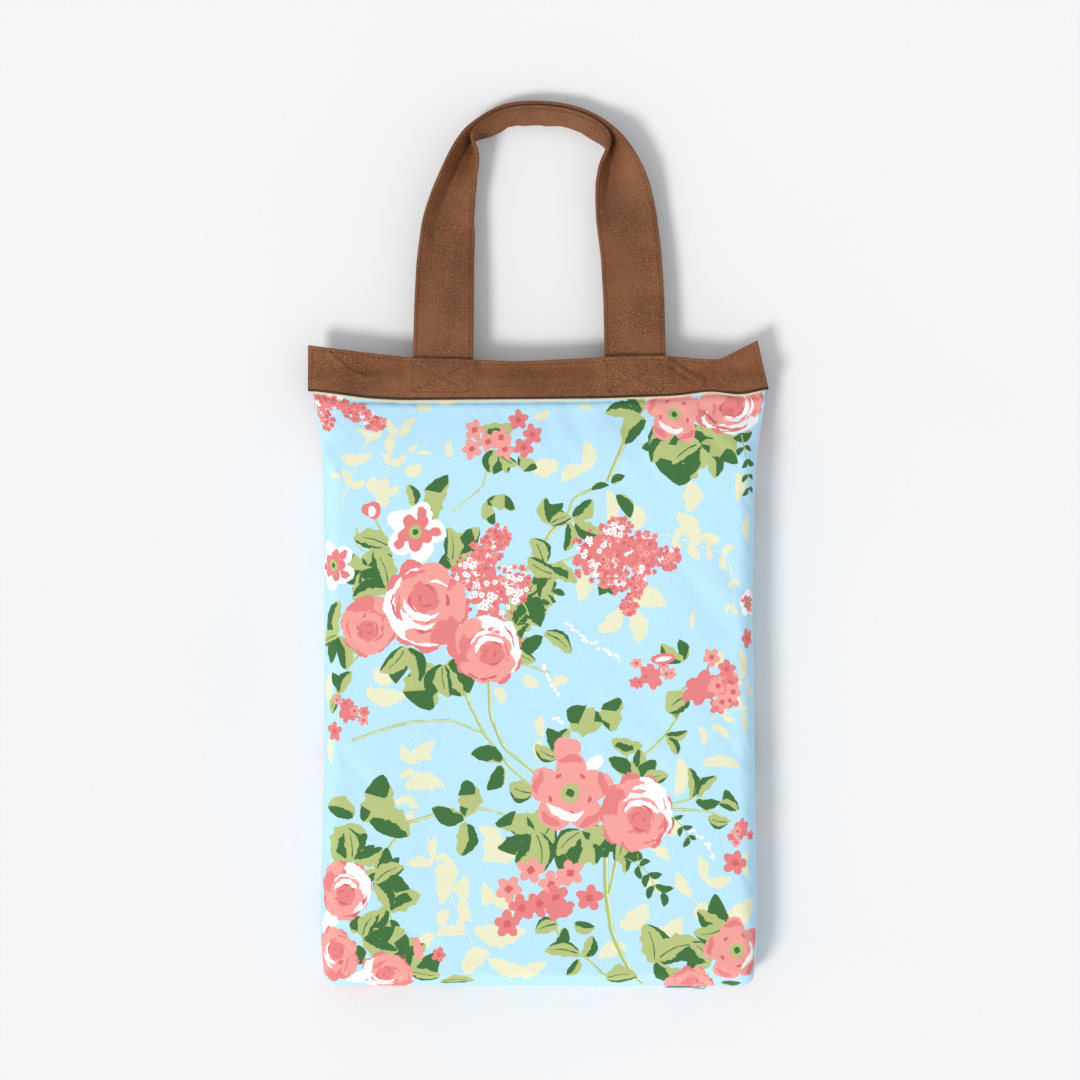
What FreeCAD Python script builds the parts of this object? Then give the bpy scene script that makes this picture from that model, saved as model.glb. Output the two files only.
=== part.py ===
"""Kneeling pad: a foam slab in a sewn cover, bound at one end, with a strap handle and a zip.

The frame is in millimetres. X runs across the pad, +Y from the zipped end towards the handle,
and +Z up. The pad lies on its back panel, and the origin is under the middle of the whole object.
The cover's front and back panels meet in a seam at half its thickness, the mid plane, and most
pieces come in pairs that mirror each other across that plane.
"""
import FreeCAD, Part
import math
import os

Vec = FreeCAD.Vector

# Whole object
TOTAL_LENGTH = 615.0  # from the zip pull to the top of the grip
PAD_THICKNESS = 38.0
MID_Z = PAD_THICKNESS / 2
TOP_Y = TOTAL_LENGTH / 2
BASE_Y = -TOTAL_LENGTH / 2

# Cover
PAD_WIDTH = 299.0
MOUTH_WIDTH = 314.0  # the flattened cover where it runs under the band
FABRIC = 1.2
PLAN_CORNER_R = 12.0
EDGE_R = 9.0
PULL_DEPTH = 2.2  # how far the zip's pull and bail stand proud of the cover
PAD_END_Y = BASE_Y + PULL_DEPTH
FLARE_START_Y = 62.0
COVER_TOP_Y = 118.0

# Foam
FOAM_GAP = 0.3  # slack between the foam and the fabric
FOAM_TOP_Y = 76.0
FOAM_END_Y = PAD_END_Y + 4.7  # leaves room for the slider's inner plate

# Band: two leather plies over the cover's tapering mouth
BAND_WIDTH = 319.0
BAND_LOW_Y = 100.0
BAND_TOP_Y = 130.0
LEATHER = 1.3
TAPER = 0.3  # rise of the cover's surface for each millimetre below the band's top
TOP_HALF_GAP = 1.45  # half the cover's thickness, carried on to the band's top edge
HEM_DEPTH = 6.0  # width of the band's turned-in top edge

# Edge tape between each ply of the band and the cover
TAPE = 0.45
TAPE_GAP = 0.5
TAPE_SHOWS = 1.1
TAPE_LENGTH = 9.0
TAPE_WIDTH = 310.0

# Handle
STRAP_PLY = 1.4
STRAP_HALF = STRAP_PLY
STRAP_WIDTH = 40.0
STRAP_X = 67.0  # middle of each strap where it enters the band
FOLD_Y = 137.0  # the line that the handle folds on
FOLD_GAP = 1.0
FOLD_TIP = 0.2
FOLD_TAPER = math.radians(15.0)
TAIL_LOW_Y = 99.0
GRIP_HALF = 2 * STRAP_PLY
DROOP = 3.5  # degrees that the handle hangs below level
GRIP_REACH = (TOP_Y - FOLD_Y - GRIP_HALF * math.sin(math.radians(DROOP))) / math.cos(math.radians(DROOP))
GRIP_TOP_Y = FOLD_Y + GRIP_REACH  # the grip's far side while the handle is drawn level
LEG_SWELL_Y = 205.0  # above this the legs curve in towards the grip
TUCK_INNER = (50.6, 273.0)
TUCK_OUTER = (57.5, 283.5)
GRIP_INNER_TOP_Y = 292.0
GATHER_R = 9.0

# Thread
THREAD = 0.6
THREAD_HEIGHT = 0.35
STITCH_INSET = 2.2
BOX_STITCH_WIDTH = 37.0
BOX_STITCH_LOW_Y = 103.5
BOX_STITCH_TOP_Y = 127.0
BAND_STITCH_INSET = 3.0

# Zip, in the seam at the pad's end; depths are along +Y from the cover's outer face
SLOT_HALF_LENGTH = 122.0
SLOT_HALF_HEIGHT = 4.5
CHAIN_HALF_LENGTH = 118.0
TOOTH_PITCH = 1.9
TOOTH_LENGTH = 1.1
TOOTH_LOW, TOOTH_HIGH = 0.65, 2.2
TOOTH_FRONT, TOOTH_BACK = 1.1, 2.5
ZIP_TAPE = 0.5
ZIP_TAPE_EDGE, ZIP_TAPE_WIDTH = 1.2, 10.8
ZIP_TAPE_HALF_LENGTH = 126.0
SLIDER_REST_X = 112.0
SLIDER_LENGTH = 11.0
SLIDER_HALF_HEIGHT = 3.9
PLATE = 0.9
OUTER_PLATE_FRONT = -0.1
INNER_PLATE_FRONT = 3.4
INNER_PLATE = 0.8
DIVIDER_HALF = 0.3
BAIL_HALF_LENGTH = 3.8
BAIL_HALF_WIDTH = 0.8
BAIL_METAL = 0.6
PIVOT_DEPTH = -0.9
PIVOT_R = 0.4
PULL_LENGTH = 24.0
PULL_HALF_WIDTH = 2.5
PULL_HALF_THICKNESS = 0.45
PULL_EYE_LENGTH = 4.4
PULL_ARM = 1.0


def box(x_range, y_range, z_range):
    """Axis-aligned block between two limits on each axis."""
    sizes = [high - low for low, high in (x_range, y_range, z_range)]
    return Part.makeBox(*sizes, Vec(x_range[0], y_range[0], z_range[0]))


def side_prism(points, half_width):
    """Prism across the pad whose outline is given as (y, z) points."""
    wire = Part.makePolygon([Vec(-half_width, y, z) for y, z in points + points[:1]])
    return Part.Face(wire).extrude(Vec(2 * half_width, 0, 0))


def plan_prism(face, low_z, high_z):
    """Prism standing on a plan-view face that was drawn at z = 0."""
    raised = face.copy()
    raised.translate(Vec(0, 0, low_z))
    return raised.extrude(Vec(0, 0, high_z - low_z))


def across_mid_plane(shape):
    """The same shape on the other side of the mid plane."""
    return shape.mirror(Vec(0, 0, MID_Z), Vec(0, 0, 1))


def left_of(shape):
    """The same shape on the left of the object."""
    return shape.mirror(Vec(0, 0, 0), Vec(1, 0, 0))


def line(start, end):
    return Part.LineSegment(Vec(*start, 0), Vec(*end, 0)).toShape()


def arc(start, middle, end):
    return Part.Arc(Vec(*start, 0), Vec(*middle, 0), Vec(*end, 0)).toShape()


def plan_face(edges):
    return Part.Face(Part.Wire(edges))


# ---- cover and foam ----------------------------------------------------------------------


def half_gap(y):
    """Half the cover's thickness on its tapering mouth, outside to outside."""
    return TOP_HALF_GAP + (BAND_TOP_Y - y) * TAPER


def taper_start(half_thickness):
    """Where the taper has grown to a given half thickness."""
    return BAND_TOP_Y - (half_thickness - TOP_HALF_GAP) / TAPER


def cover_form(inset, top_y):
    """The cover's closed outer form, moved in by an inset, and cut square at top_y."""
    half_width = PAD_WIDTH / 2 - inset
    mouth = MOUTH_WIDTH / 2 - inset
    end_y = PAD_END_Y + inset
    corner = PLAN_CORNER_R - inset
    slack = corner * (1 - math.sqrt(0.5))
    right_low, right_high = (half_width, end_y + corner), (half_width, FLARE_START_Y)
    bend_r, bend_l = (mouth, BAND_LOW_Y), (-mouth, BAND_LOW_Y)
    left_high, left_low = (-half_width, FLARE_START_Y), (-half_width, end_y + corner)
    end_r, end_l = (half_width - corner, end_y), (-half_width + corner, end_y)
    outline = plan_face([
        line(end_l, end_r),
        arc(end_r, (half_width - slack, end_y + slack), right_low),
        line(right_low, right_high),
        line(right_high, bend_r),
        line(bend_r, (mouth, top_y)),
        line((mouth, top_y), (-mouth, top_y)),
        line((-mouth, top_y), bend_l),
        line(bend_l, left_high),
        line(left_high, left_low),
        arc(left_low, (-half_width + slack, end_y + slack), end_l),
    ])
    slab = plan_prism(outline, inset, PAD_THICKNESS - inset)
    level = [edge for edge in slab.Edges if edge.BoundBox.ZLength < 0.001]
    rims = [edge for edge in level if edge.BoundBox.YMin < top_y - 1]
    slab = slab.makeFillet(EDGE_R - inset, rims)
    half = MID_Z - inset
    steep = inset * math.hypot(1, TAPER)
    start_y = taper_start(half + steep)
    end_half = half_gap(top_y) - steep
    outline = [(end_y - 1, -half), (start_y, -half), (top_y, -end_half)]
    outline += [(top_y, end_half), (start_y, half), (end_y - 1, half)]
    profile = side_prism([(y, MID_Z + z) for y, z in outline], mouth + 1)
    return slab.common(profile)


def zip_slot():
    """The gap in the seam that the zip fills."""
    length = (-SLOT_HALF_LENGTH, SLOT_HALF_LENGTH)
    depth = (PAD_END_Y - 1, PAD_END_Y + FABRIC + 0.5)
    return box(length, depth, (MID_Z - SLOT_HALF_HEIGHT, MID_Z + SLOT_HALF_HEIGHT))


def zip_lip():
    """The front panel's edge, folded in beside the zip as far as its tape."""
    low = MID_Z + SLOT_HALF_HEIGHT
    length = (-SLOT_HALF_LENGTH, SLOT_HALF_LENGTH)
    return box(length, (PAD_END_Y + FABRIC / 2, PAD_END_Y + TOOTH_BACK), (low, low + FABRIC))


def front_panel():
    shell = cover_form(0, COVER_TOP_Y).cut(cover_form(FABRIC, COVER_TOP_Y + 1))
    shell = shell.cut(zip_slot())
    upper_half = box((-200, 200), (-400, 400), (MID_Z, PAD_THICKNESS + 1))
    return shell.common(upper_half).fuse(zip_lip()).removeSplitter()


def back_panel():
    return across_mid_plane(front_panel())


def foam_core():
    form = cover_form(FABRIC + FOAM_GAP, COVER_TOP_Y)
    return form.common(box((-200, 200), (FOAM_END_Y, FOAM_TOP_Y), (0, PAD_THICKNESS)))


# ---- band ----------------------------------------------------------------------------------


def band_ply_strip(low_y, high_y, inner, outer, half_width):
    """A strip over the mouth's upper slope, between two heights above the cover."""
    points = [(low_y, inner), (high_y, inner), (high_y, outer), (low_y, outer)]
    return side_prism([(y, MID_Z + half_gap(y) + rise) for y, rise in points], half_width)


def band_hem(low_x, high_x):
    """The ply's top edge turned in, down to the mid plane, between two places across it."""
    depth = (BAND_TOP_Y - HEM_DEPTH, BAND_TOP_Y)
    block = box((low_x, high_x), depth, (MID_Z, MID_Z + half_gap(depth[0]) + TAPE_GAP))
    under = band_ply_strip(*depth, -20, TAPE_GAP, BAND_WIDTH / 2)
    return block.common(under)


def band_end():
    """The ply's right-hand end turned in, beside the cover."""
    side = (MOUTH_WIDTH / 2 + 0.3, BAND_WIDTH / 2)
    block = box(side, (BAND_LOW_Y, BAND_TOP_Y), (MID_Z, PAD_THICKNESS))
    return block.common(band_ply_strip(BAND_LOW_Y, BAND_TOP_Y, -20, TAPE_GAP, BAND_WIDTH / 2))


def band_front():
    thickness = LEATHER * math.hypot(1, TAPER)
    ply = band_ply_strip(BAND_LOW_Y, BAND_TOP_Y, TAPE_GAP, TAPE_GAP + thickness, BAND_WIDTH / 2)
    strap_in, strap_out = STRAP_X - STRAP_WIDTH / 2 - 0.3, STRAP_X + STRAP_WIDTH / 2 + 0.3
    hem_right = band_hem(strap_out, BAND_WIDTH / 2)
    hem_middle = band_hem(-strap_in, strap_in)
    pieces = [hem_middle, hem_right, left_of(hem_right), band_end(), left_of(band_end())]
    return ply.fuse(pieces).removeSplitter()


def band_back():
    return across_mid_plane(band_front())


def edge_tape_front():
    low_y = BAND_LOW_Y - TAPE_SHOWS
    return band_ply_strip(low_y, low_y + TAPE_LENGTH, 0, TAPE, TAPE_WIDTH / 2)


def edge_tape_back():
    return across_mid_plane(edge_tape_front())


# ---- thread on the band ----------------------------------------------------------------------


def on_band(shape):
    """Lay a shape drawn flat at z = 0 onto the front ply, keeping its place along the slope."""
    tilted = shape.copy()
    tilted.rotate(Vec(0, BAND_TOP_Y, 0), Vec(1, 0, 0), -math.degrees(math.atan(TAPER)))
    surface = TOP_HALF_GAP + TAPE_GAP + LEATHER * math.hypot(1, TAPER)
    tilted.translate(Vec(0, 0, MID_Z + surface))
    return tilted


def thread_run(start, end):
    """A straight row of thread from one plan point to another, drawn flat at z = 0."""
    length = math.dist(start, end)
    row = Part.makeBox(length, THREAD, THREAD_HEIGHT, Vec(0, -THREAD / 2, 0))
    row.rotate(Vec(0, 0, 0), Vec(0, 0, 1), math.degrees(math.atan2(end[1] - start[1], end[0] - start[0])))
    row.translate(Vec(*start, 0))
    return row


def box_stitch_right():
    """A sewn box with its cross over the right strap's tail, on both faces of the band."""
    left, right = STRAP_X - BOX_STITCH_WIDTH / 2, STRAP_X + BOX_STITCH_WIDTH / 2
    low, high = BOX_STITCH_LOW_Y, BOX_STITCH_TOP_Y
    corners = [(left, low), (right, low), (right, high), (left, high)]
    runs = [thread_run(a, b) for a, b in zip(corners, corners[1:] + corners[:1])]
    runs += [thread_run(corners[0], corners[2]), thread_run(corners[1], corners[3])]
    face = on_band(runs[0].fuse(runs[1:]).removeSplitter())
    return Part.Compound([face, across_mid_plane(face)])


def box_stitch_left():
    return left_of(box_stitch_right())


def band_stitch():
    """The rows along the band's top edge, clear of the box stitches, and down its ends."""
    side = BAND_WIDTH / 2 - BAND_STITCH_INSET
    top, low = BAND_TOP_Y - BAND_STITCH_INSET, BAND_LOW_Y + 1
    clear = BOX_STITCH_WIDTH / 2 + 1
    rows = [thread_run((-STRAP_X + clear, top), (STRAP_X - clear, top))]
    corner = thread_run((STRAP_X + clear, top), (side, top)).fuse(thread_run((side, top), (side, low)))
    rows += [corner, left_of(corner)]
    faces = [on_band(row) for row in rows]
    return Part.Compound(faces + [across_mid_plane(face) for face in faces])


# ---- handle ------------------------------------------------------------------------------------


def fold_profile(direction, far_y):
    """Side view of a strap that thins to a crease at the fold line and runs on to far_y."""
    tip_y = FOLD_Y + direction * FOLD_GAP
    full_y = tip_y + direction * (STRAP_HALF - FOLD_TIP) / math.tan(FOLD_TAPER)
    upper = [(far_y, STRAP_HALF), (full_y, STRAP_HALF), (tip_y, FOLD_TIP)]
    outline = upper + [(y, -z) for y, z in reversed(upper)]
    return side_prism([(y, MID_Z + z) for y, z in outline], BAND_WIDTH / 2)


def strap_tail_right():
    """The strap's end, sewn into the band."""
    sides = (STRAP_X - STRAP_WIDTH / 2, STRAP_X + STRAP_WIDTH / 2)
    return box(sides, (TAIL_LOW_Y, FOLD_Y), (0, PAD_THICKNESS)).common(fold_profile(-1, TAIL_LOW_Y))


def strap_tail_left():
    return left_of(strap_tail_right())


def leg_outline():
    """Plan of the right leg, from the fold line to the tuck where the grip starts."""
    inner, outer = STRAP_X - STRAP_WIDTH / 2, STRAP_X + STRAP_WIDTH / 2
    inner_bend, outer_bend = (inner - 4.5, 240.0), (outer - 1.5, LEG_SWELL_Y)
    return plan_face([
        line((inner, FOLD_Y), inner_bend),
        arc(inner_bend, (inner - 2.0, 260.0), TUCK_INNER),
        line(TUCK_INNER, TUCK_OUTER),
        arc(TUCK_OUTER, (outer - 9.5, 252.0), outer_bend),
        line(outer_bend, (outer, FOLD_Y)),
        line((outer, FOLD_Y), (inner, FOLD_Y)),
    ])


def grip_outline(inner_offset=0.0, outer_offset=0.0):
    """Plan of the folded grip between the two tucks; offsets move its long edges inwards."""
    inner_x, inner_y = TUCK_INNER
    outer_x, outer_y = TUCK_OUTER
    slope = math.atan2(outer_y - inner_y, outer_x - inner_x)
    shift = Vec(math.cos(slope), math.sin(slope), 0)
    low = (inner_x + shift.x * inner_offset, inner_y + shift.y * inner_offset)
    high = (outer_x - shift.x * outer_offset, outer_y - shift.y * outer_offset)
    return plan_face([
        arc((-low[0], low[1]), (0, GRIP_INNER_TOP_Y + inner_offset), low),
        line(low, high),
        arc(high, (0, GRIP_TOP_Y - outer_offset), (-high[0], high[1])),
        line((-high[0], high[1]), (-low[0], low[1])),
    ])


def drooping(shape):
    """A piece of the handle, drawn level, turned down about the fold line."""
    shape.rotate(Vec(0, FOLD_Y, MID_Z), Vec(1, 0, 0), -DROOP)
    return shape


def leg_layer(low, high):
    """One layer of the right leg between two heights from the mid plane."""
    return plan_prism(leg_outline(), MID_Z + low, MID_Z + high)


def gather():
    """The leg's face ply bunched up at the tuck to meet the grip."""
    middle = [(a + b) / 2 for a, b in zip(TUCK_INNER, TUCK_OUTER)]
    post = Part.makeCylinder(GATHER_R, GRIP_HALF, Vec(*middle, MID_Z))
    return leg_layer(0, GRIP_HALF).common(post)


def handle_face():
    """Outer ply: flat on the legs, and wrapped round the lining on the grip."""
    creased = fold_profile(1, GRIP_TOP_Y)
    leg = leg_layer(0, STRAP_PLY).common(creased).fuse(gather())
    upper = plan_prism(grip_outline(), MID_Z + STRAP_PLY, MID_Z + GRIP_HALF)
    lower = across_mid_plane(upper)
    wall = grip_outline().cut(grip_outline(inner_offset=STRAP_PLY))
    wrap = plan_prism(wall, MID_Z - GRIP_HALF, MID_Z + GRIP_HALF)
    return drooping(leg.fuse([left_of(leg), upper, lower, wrap]).removeSplitter())


def handle_lining():
    """Inner ply: under the legs, and doubled inside the grip."""
    leg = leg_layer(-STRAP_PLY, 0).common(fold_profile(1, GRIP_TOP_Y))
    doubled = plan_prism(grip_outline(inner_offset=STRAP_PLY), MID_Z - STRAP_PLY, MID_Z + STRAP_PLY)
    return drooping(leg.fuse([left_of(leg), doubled]).removeSplitter())


def leg_stitch_right():
    """Rows of thread beside both edges of the right leg, on its two faces."""
    outline = leg_outline()
    ring = outline.makeOffset2D(-STITCH_INSET).cut(outline.makeOffset2D(-STITCH_INSET - THREAD))
    span = box((0, BAND_WIDTH), (FOLD_Y + 6, TUCK_INNER[1] - 14), (-1, PAD_THICKNESS))
    rows = plan_prism(ring, MID_Z + STRAP_HALF, MID_Z + STRAP_HALF + THREAD_HEIGHT).common(span)
    return drooping(Part.Compound(rows.Solids + [across_mid_plane(row) for row in rows.Solids]))


def leg_stitch_left():
    return left_of(leg_stitch_right())


def grip_stitch():
    """The row that closes the folded grip along its outer side, on its two faces."""
    inset = STITCH_INSET
    outer = grip_outline(outer_offset=inset)
    row = outer.cut(grip_outline(outer_offset=inset + THREAD))
    ribbon = plan_prism(row, MID_Z + GRIP_HALF, MID_Z + GRIP_HALF + THREAD_HEIGHT)
    return drooping(Part.Compound([ribbon, across_mid_plane(ribbon)]))


# ---- zip -----------------------------------------------------------------------------------------


def at_depth(front, back):
    """Y limits of something between two depths behind the cover's outer face."""
    return PAD_END_Y + front, PAD_END_Y + back


def zip_tape_upper():
    height = (MID_Z + ZIP_TAPE_EDGE, MID_Z + ZIP_TAPE_EDGE + ZIP_TAPE_WIDTH)
    length = (-ZIP_TAPE_HALF_LENGTH, ZIP_TAPE_HALF_LENGTH)
    return box(length, at_depth(TOOTH_BACK, TOOTH_BACK + ZIP_TAPE), height)


def zip_tape_lower():
    return across_mid_plane(zip_tape_upper())


def tooth_row(first_x):
    """Separate teeth on the upper tape, from first_x to the chain's far end."""
    height = (MID_Z + TOOTH_LOW, MID_Z + TOOTH_HIGH)
    count = int((CHAIN_HALF_LENGTH - first_x) / TOOTH_PITCH)
    starts = [first_x + i * TOOTH_PITCH for i in range(count)]
    depth = at_depth(TOOTH_FRONT, TOOTH_BACK)
    return Part.Compound([box((x, x + TOOTH_LENGTH), depth, height) for x in starts])


def zip_teeth_upper():
    return tooth_row(-CHAIN_HALF_LENGTH + 0.5)


def zip_teeth_lower():
    return across_mid_plane(tooth_row(-CHAIN_HALF_LENGTH + 0.5 + TOOTH_PITCH / 2))


def zip_top_stops():
    """A metal stop on each tape beyond the closed slider."""
    length = (CHAIN_HALF_LENGTH + 0.4, CHAIN_HALF_LENGTH + 2.4)
    depth = at_depth(TOOTH_FRONT, TOOTH_BACK)
    stop = box(length, depth, (MID_Z + TOOTH_LOW, MID_Z + TOOTH_HIGH + 0.3))
    return Part.Compound([stop, across_mid_plane(stop)])


def zip_bottom_stop():
    """The staple that holds both tapes together at the zip's open end."""
    length = (-CHAIN_HALF_LENGTH - 2.4, -CHAIN_HALF_LENGTH + 0.1)
    height = (MID_Z - TOOTH_HIGH - 0.4, MID_Z + TOOTH_HIGH + 0.4)
    return box(length, at_depth(TOOTH_FRONT, TOOTH_BACK), height)


def slider_span(half_length):
    return SLIDER_REST_X - half_length, SLIDER_REST_X + half_length


def zip_slider():
    """Two plates joined by the divider between the rows of teeth, with a bail for the pull."""
    height = (MID_Z - SLIDER_HALF_HEIGHT, MID_Z + SLIDER_HALF_HEIGHT)
    length = slider_span(SLIDER_LENGTH / 2)
    plate_back = OUTER_PLATE_FRONT + PLATE
    outer = box(length, at_depth(OUTER_PLATE_FRONT, plate_back), height)
    inner = box(length, at_depth(INNER_PLATE_FRONT, INNER_PLATE_FRONT + INNER_PLATE), height)
    uprights = [edge for edge in outer.Edges if edge.BoundBox.YLength > PLATE / 2]
    outer = outer.makeFillet(2.0, uprights)
    middle = (MID_Z - DIVIDER_HALF, MID_Z + DIVIDER_HALF)
    near_end = (SLIDER_REST_X + 1.0, SLIDER_REST_X + 4.5)
    divider = box(near_end, at_depth(plate_back - 0.1, INNER_PLATE_FRONT + 0.1), middle)
    strip = (MID_Z - BAIL_HALF_WIDTH, MID_Z + BAIL_HALF_WIDTH)
    arch = box(slider_span(BAIL_HALF_LENGTH), at_depth(-PULL_DEPTH, OUTER_PLATE_FRONT + 0.1), strip)
    inside = slider_span(BAIL_HALF_LENGTH - BAIL_METAL)
    arch = arch.cut(box(inside, at_depth(-PULL_DEPTH + BAIL_METAL, OUTER_PLATE_FRONT), strip))
    return outer.fuse([inner, divider, arch]).removeSplitter()


def zip_pull():
    """The tab, its eye round the bail, and the pivot bar under the bail."""
    pivot_y = PAD_END_Y + PIVOT_DEPTH
    depth = (pivot_y - PULL_HALF_THICKNESS, pivot_y + PULL_HALF_THICKNESS)
    height = (MID_Z - PULL_HALF_WIDTH, MID_Z + PULL_HALF_WIDTH)
    tab = box((SLIDER_REST_X - PULL_LENGTH, SLIDER_REST_X), depth, height)
    tip_edges = [
        edge
        for edge in tab.Edges
        if edge.BoundBox.YLength > PULL_HALF_THICKNESS and edge.BoundBox.XMax < SLIDER_REST_X - 1
    ]
    tab = tab.makeFillet(PULL_HALF_WIDTH - 0.1, tip_edges)
    eye_height = (MID_Z - PULL_HALF_WIDTH + PULL_ARM, MID_Z + PULL_HALF_WIDTH - PULL_ARM)
    tab = tab.cut(box((SLIDER_REST_X - PULL_EYE_LENGTH, SLIDER_REST_X + 1), depth, eye_height))
    bar = Part.makeCylinder(
        PIVOT_R, 2 * PULL_HALF_WIDTH, Vec(SLIDER_REST_X, pivot_y, MID_Z - PULL_HALF_WIDTH), Vec(0, 0, 1)
    )
    return tab.fuse(bar).removeSplitter()


PIECES = [
    foam_core, front_panel, back_panel,
    band_front, band_back, edge_tape_front, edge_tape_back,
    strap_tail_left, strap_tail_right, box_stitch_left, box_stitch_right, band_stitch,
    handle_face, handle_lining, leg_stitch_left, leg_stitch_right, grip_stitch,
    zip_tape_upper, zip_tape_lower, zip_teeth_upper, zip_teeth_lower,
    zip_top_stops, zip_bottom_stop, zip_slider, zip_pull,
]

os.makedirs("parts", exist_ok=True)
for piece in PIECES:
    shape = piece()
    shape.exportStep(f"parts/{piece.__name__}.step")
    box_now = shape.BoundBox
    print(
        f"{piece.__name__}: {len(shape.Solids)} solids, {shape.Volume / 1000:.2f} cm3,"
        f" valid {shape.isValid()}, x {box_now.XMin:.1f} to {box_now.XMax:.1f},"
        f" y {box_now.YMin:.1f} to {box_now.YMax:.1f}, z {box_now.ZMin:.1f} to {box_now.ZMax:.1f}"
    )
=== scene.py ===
import math

import bpy
import numpy as np
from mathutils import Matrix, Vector
from mathutils.geometry import delaunay_2d_cdt


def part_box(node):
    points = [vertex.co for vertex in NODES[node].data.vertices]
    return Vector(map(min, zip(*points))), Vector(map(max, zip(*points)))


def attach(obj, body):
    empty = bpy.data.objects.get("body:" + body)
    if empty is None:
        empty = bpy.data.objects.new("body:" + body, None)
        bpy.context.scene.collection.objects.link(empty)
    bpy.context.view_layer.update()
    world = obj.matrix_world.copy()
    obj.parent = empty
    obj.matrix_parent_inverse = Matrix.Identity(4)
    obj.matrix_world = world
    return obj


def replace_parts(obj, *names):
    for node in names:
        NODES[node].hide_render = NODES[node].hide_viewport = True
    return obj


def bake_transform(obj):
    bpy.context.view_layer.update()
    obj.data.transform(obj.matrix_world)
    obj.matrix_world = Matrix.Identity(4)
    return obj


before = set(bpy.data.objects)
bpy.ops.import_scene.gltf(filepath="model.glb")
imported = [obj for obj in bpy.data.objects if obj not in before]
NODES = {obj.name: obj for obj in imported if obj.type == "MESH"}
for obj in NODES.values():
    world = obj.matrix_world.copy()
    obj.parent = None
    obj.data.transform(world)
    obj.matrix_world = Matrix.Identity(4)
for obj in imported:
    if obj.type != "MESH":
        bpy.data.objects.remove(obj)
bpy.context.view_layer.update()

# Lengths in this script are in millimetres; mesh_piece() turns them into metres.
MM = 0.001


# ---------------------------------------------------------------- small maths

def box_mm(node):
    """Lowest and highest corner of a CAD node in millimetres."""
    low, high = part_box(node)
    return np.array(low) / MM, np.array(high) / MM


def smooth(t):
    t = np.clip(t, 0.0, 1.0)
    return t * t * (3.0 - 2.0 * t)


def mix(a, b, t):
    return a * (1.0 - t) + b * t


def noise(x, y, cell, seed):
    """Smooth noise of about -1 to 1, one value per cell of that many millimetres."""
    table = np.random.default_rng(seed).uniform(-1.0, 1.0, (64, 64))
    gx, gy = np.asarray(x) / cell, np.asarray(y) / cell
    ix, iy = np.floor(gx).astype(int), np.floor(gy).astype(int)
    fx, fy = smooth(gx - ix), smooth(gy - iy)

    def corner(i, j):
        return table[(ix + i) % 64, (iy + j) % 64]

    low = mix(corner(0, 0), corner(1, 0), fx)
    high = mix(corner(0, 1), corner(1, 1), fx)
    return mix(low, high, fy)


def curve_value(table, x, blur):
    """Value at x of a broken line of (x, value) points, with its corners blurred."""
    xs = np.array([p[0] for p in table], float)
    ys = np.array([p[1] for p in table], float)
    line = np.arange(xs[0] - 4 * blur, xs[-1] + 4 * blur, 1.0)
    weights = np.exp(-0.5 * (np.arange(-3 * blur, 3 * blur + 1) / blur) ** 2)
    padded = np.pad(np.interp(line, xs, ys), len(weights) // 2, mode="edge")
    soft = np.convolve(padded, weights / weights.sum(), "valid")[: len(line)]
    return np.interp(x, line, soft)


def path_distance(x, y, path):
    """Distance of each (x, y) from a broken line, and how far along it the nearest point is."""
    best = np.full(np.shape(x), 1e9)
    along = np.zeros(np.shape(x))
    start = 0.0
    for (ax, ay), (bx, by) in zip(path, path[1:]):
        dx, dy = bx - ax, by - ay
        length = math.hypot(dx, dy)
        t = np.clip(((x - ax) * dx + (y - ay) * dy) / length ** 2, 0.0, 1.0)
        d = np.hypot(x - ax - t * dx, y - ay - t * dy)
        along = np.where(d < best, start + t * length, along)
        best = np.minimum(best, d)
        start += length
    return best, along / start


def line_lengths(points):
    """How far along a broken line each of its points is."""
    return np.concatenate([[0], np.cumsum(np.linalg.norm(np.diff(points, axis=0), axis=1))])


def even_path(points, step, blur):
    """Points step apart along a broken line whose corners are blurred by blur millimetres."""
    points = np.array(points, float)
    at = line_lengths(points)
    fine = np.arange(0.0, at[-1], step)
    line = np.stack([np.interp(fine, at, points[:, k]) for k in range(points.shape[1])], 1)
    reach = min(int(3 * blur / step), len(line) - 1)
    weights = np.exp(-0.5 * (np.arange(-reach, reach + 1) * step / blur) ** 2)
    weights /= weights.sum()
    ends = [2 * line[0] - line[reach:0:-1], line, 2 * line[-1] - line[-2:-reach - 2:-1]]
    long = np.concatenate(ends)
    return np.stack([np.convolve(long[:, k], weights, "valid") for k in range(line.shape[1])], 1)


def grid_normals(grid):
    """Unit normals of a (rows, columns, 3) grid of points."""
    normal = np.cross(np.gradient(grid, axis=1), np.gradient(grid, axis=0))
    return normal / np.maximum(np.linalg.norm(normal, axis=2, keepdims=True), 1e-9)


# ---------------------------------------------------------------- mesh pieces

def mesh_piece(name, points, faces, *materials):
    mesh = bpy.data.meshes.new(name)
    mesh.from_pydata((np.asarray(points, float).reshape(-1, 3) * MM).tolist(), [], faces)
    mesh.polygons.foreach_set("use_smooth", [True] * len(mesh.polygons))
    for material in materials:
        mesh.materials.append(material)
    mesh.update()
    piece = bpy.data.objects.new(name, mesh)
    bpy.context.scene.collection.objects.link(piece)
    return piece


def grid_faces(index, flip=False):
    """Four-sided faces over a (rows, columns) array of vertex numbers."""
    a, b, c, d = index[:-1, :-1], index[:-1, 1:], index[1:, 1:], index[1:, :-1]
    order = (a, d, c, b) if flip else (a, b, c, d)
    return np.stack([q.ravel() for q in order], 1).tolist()


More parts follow.
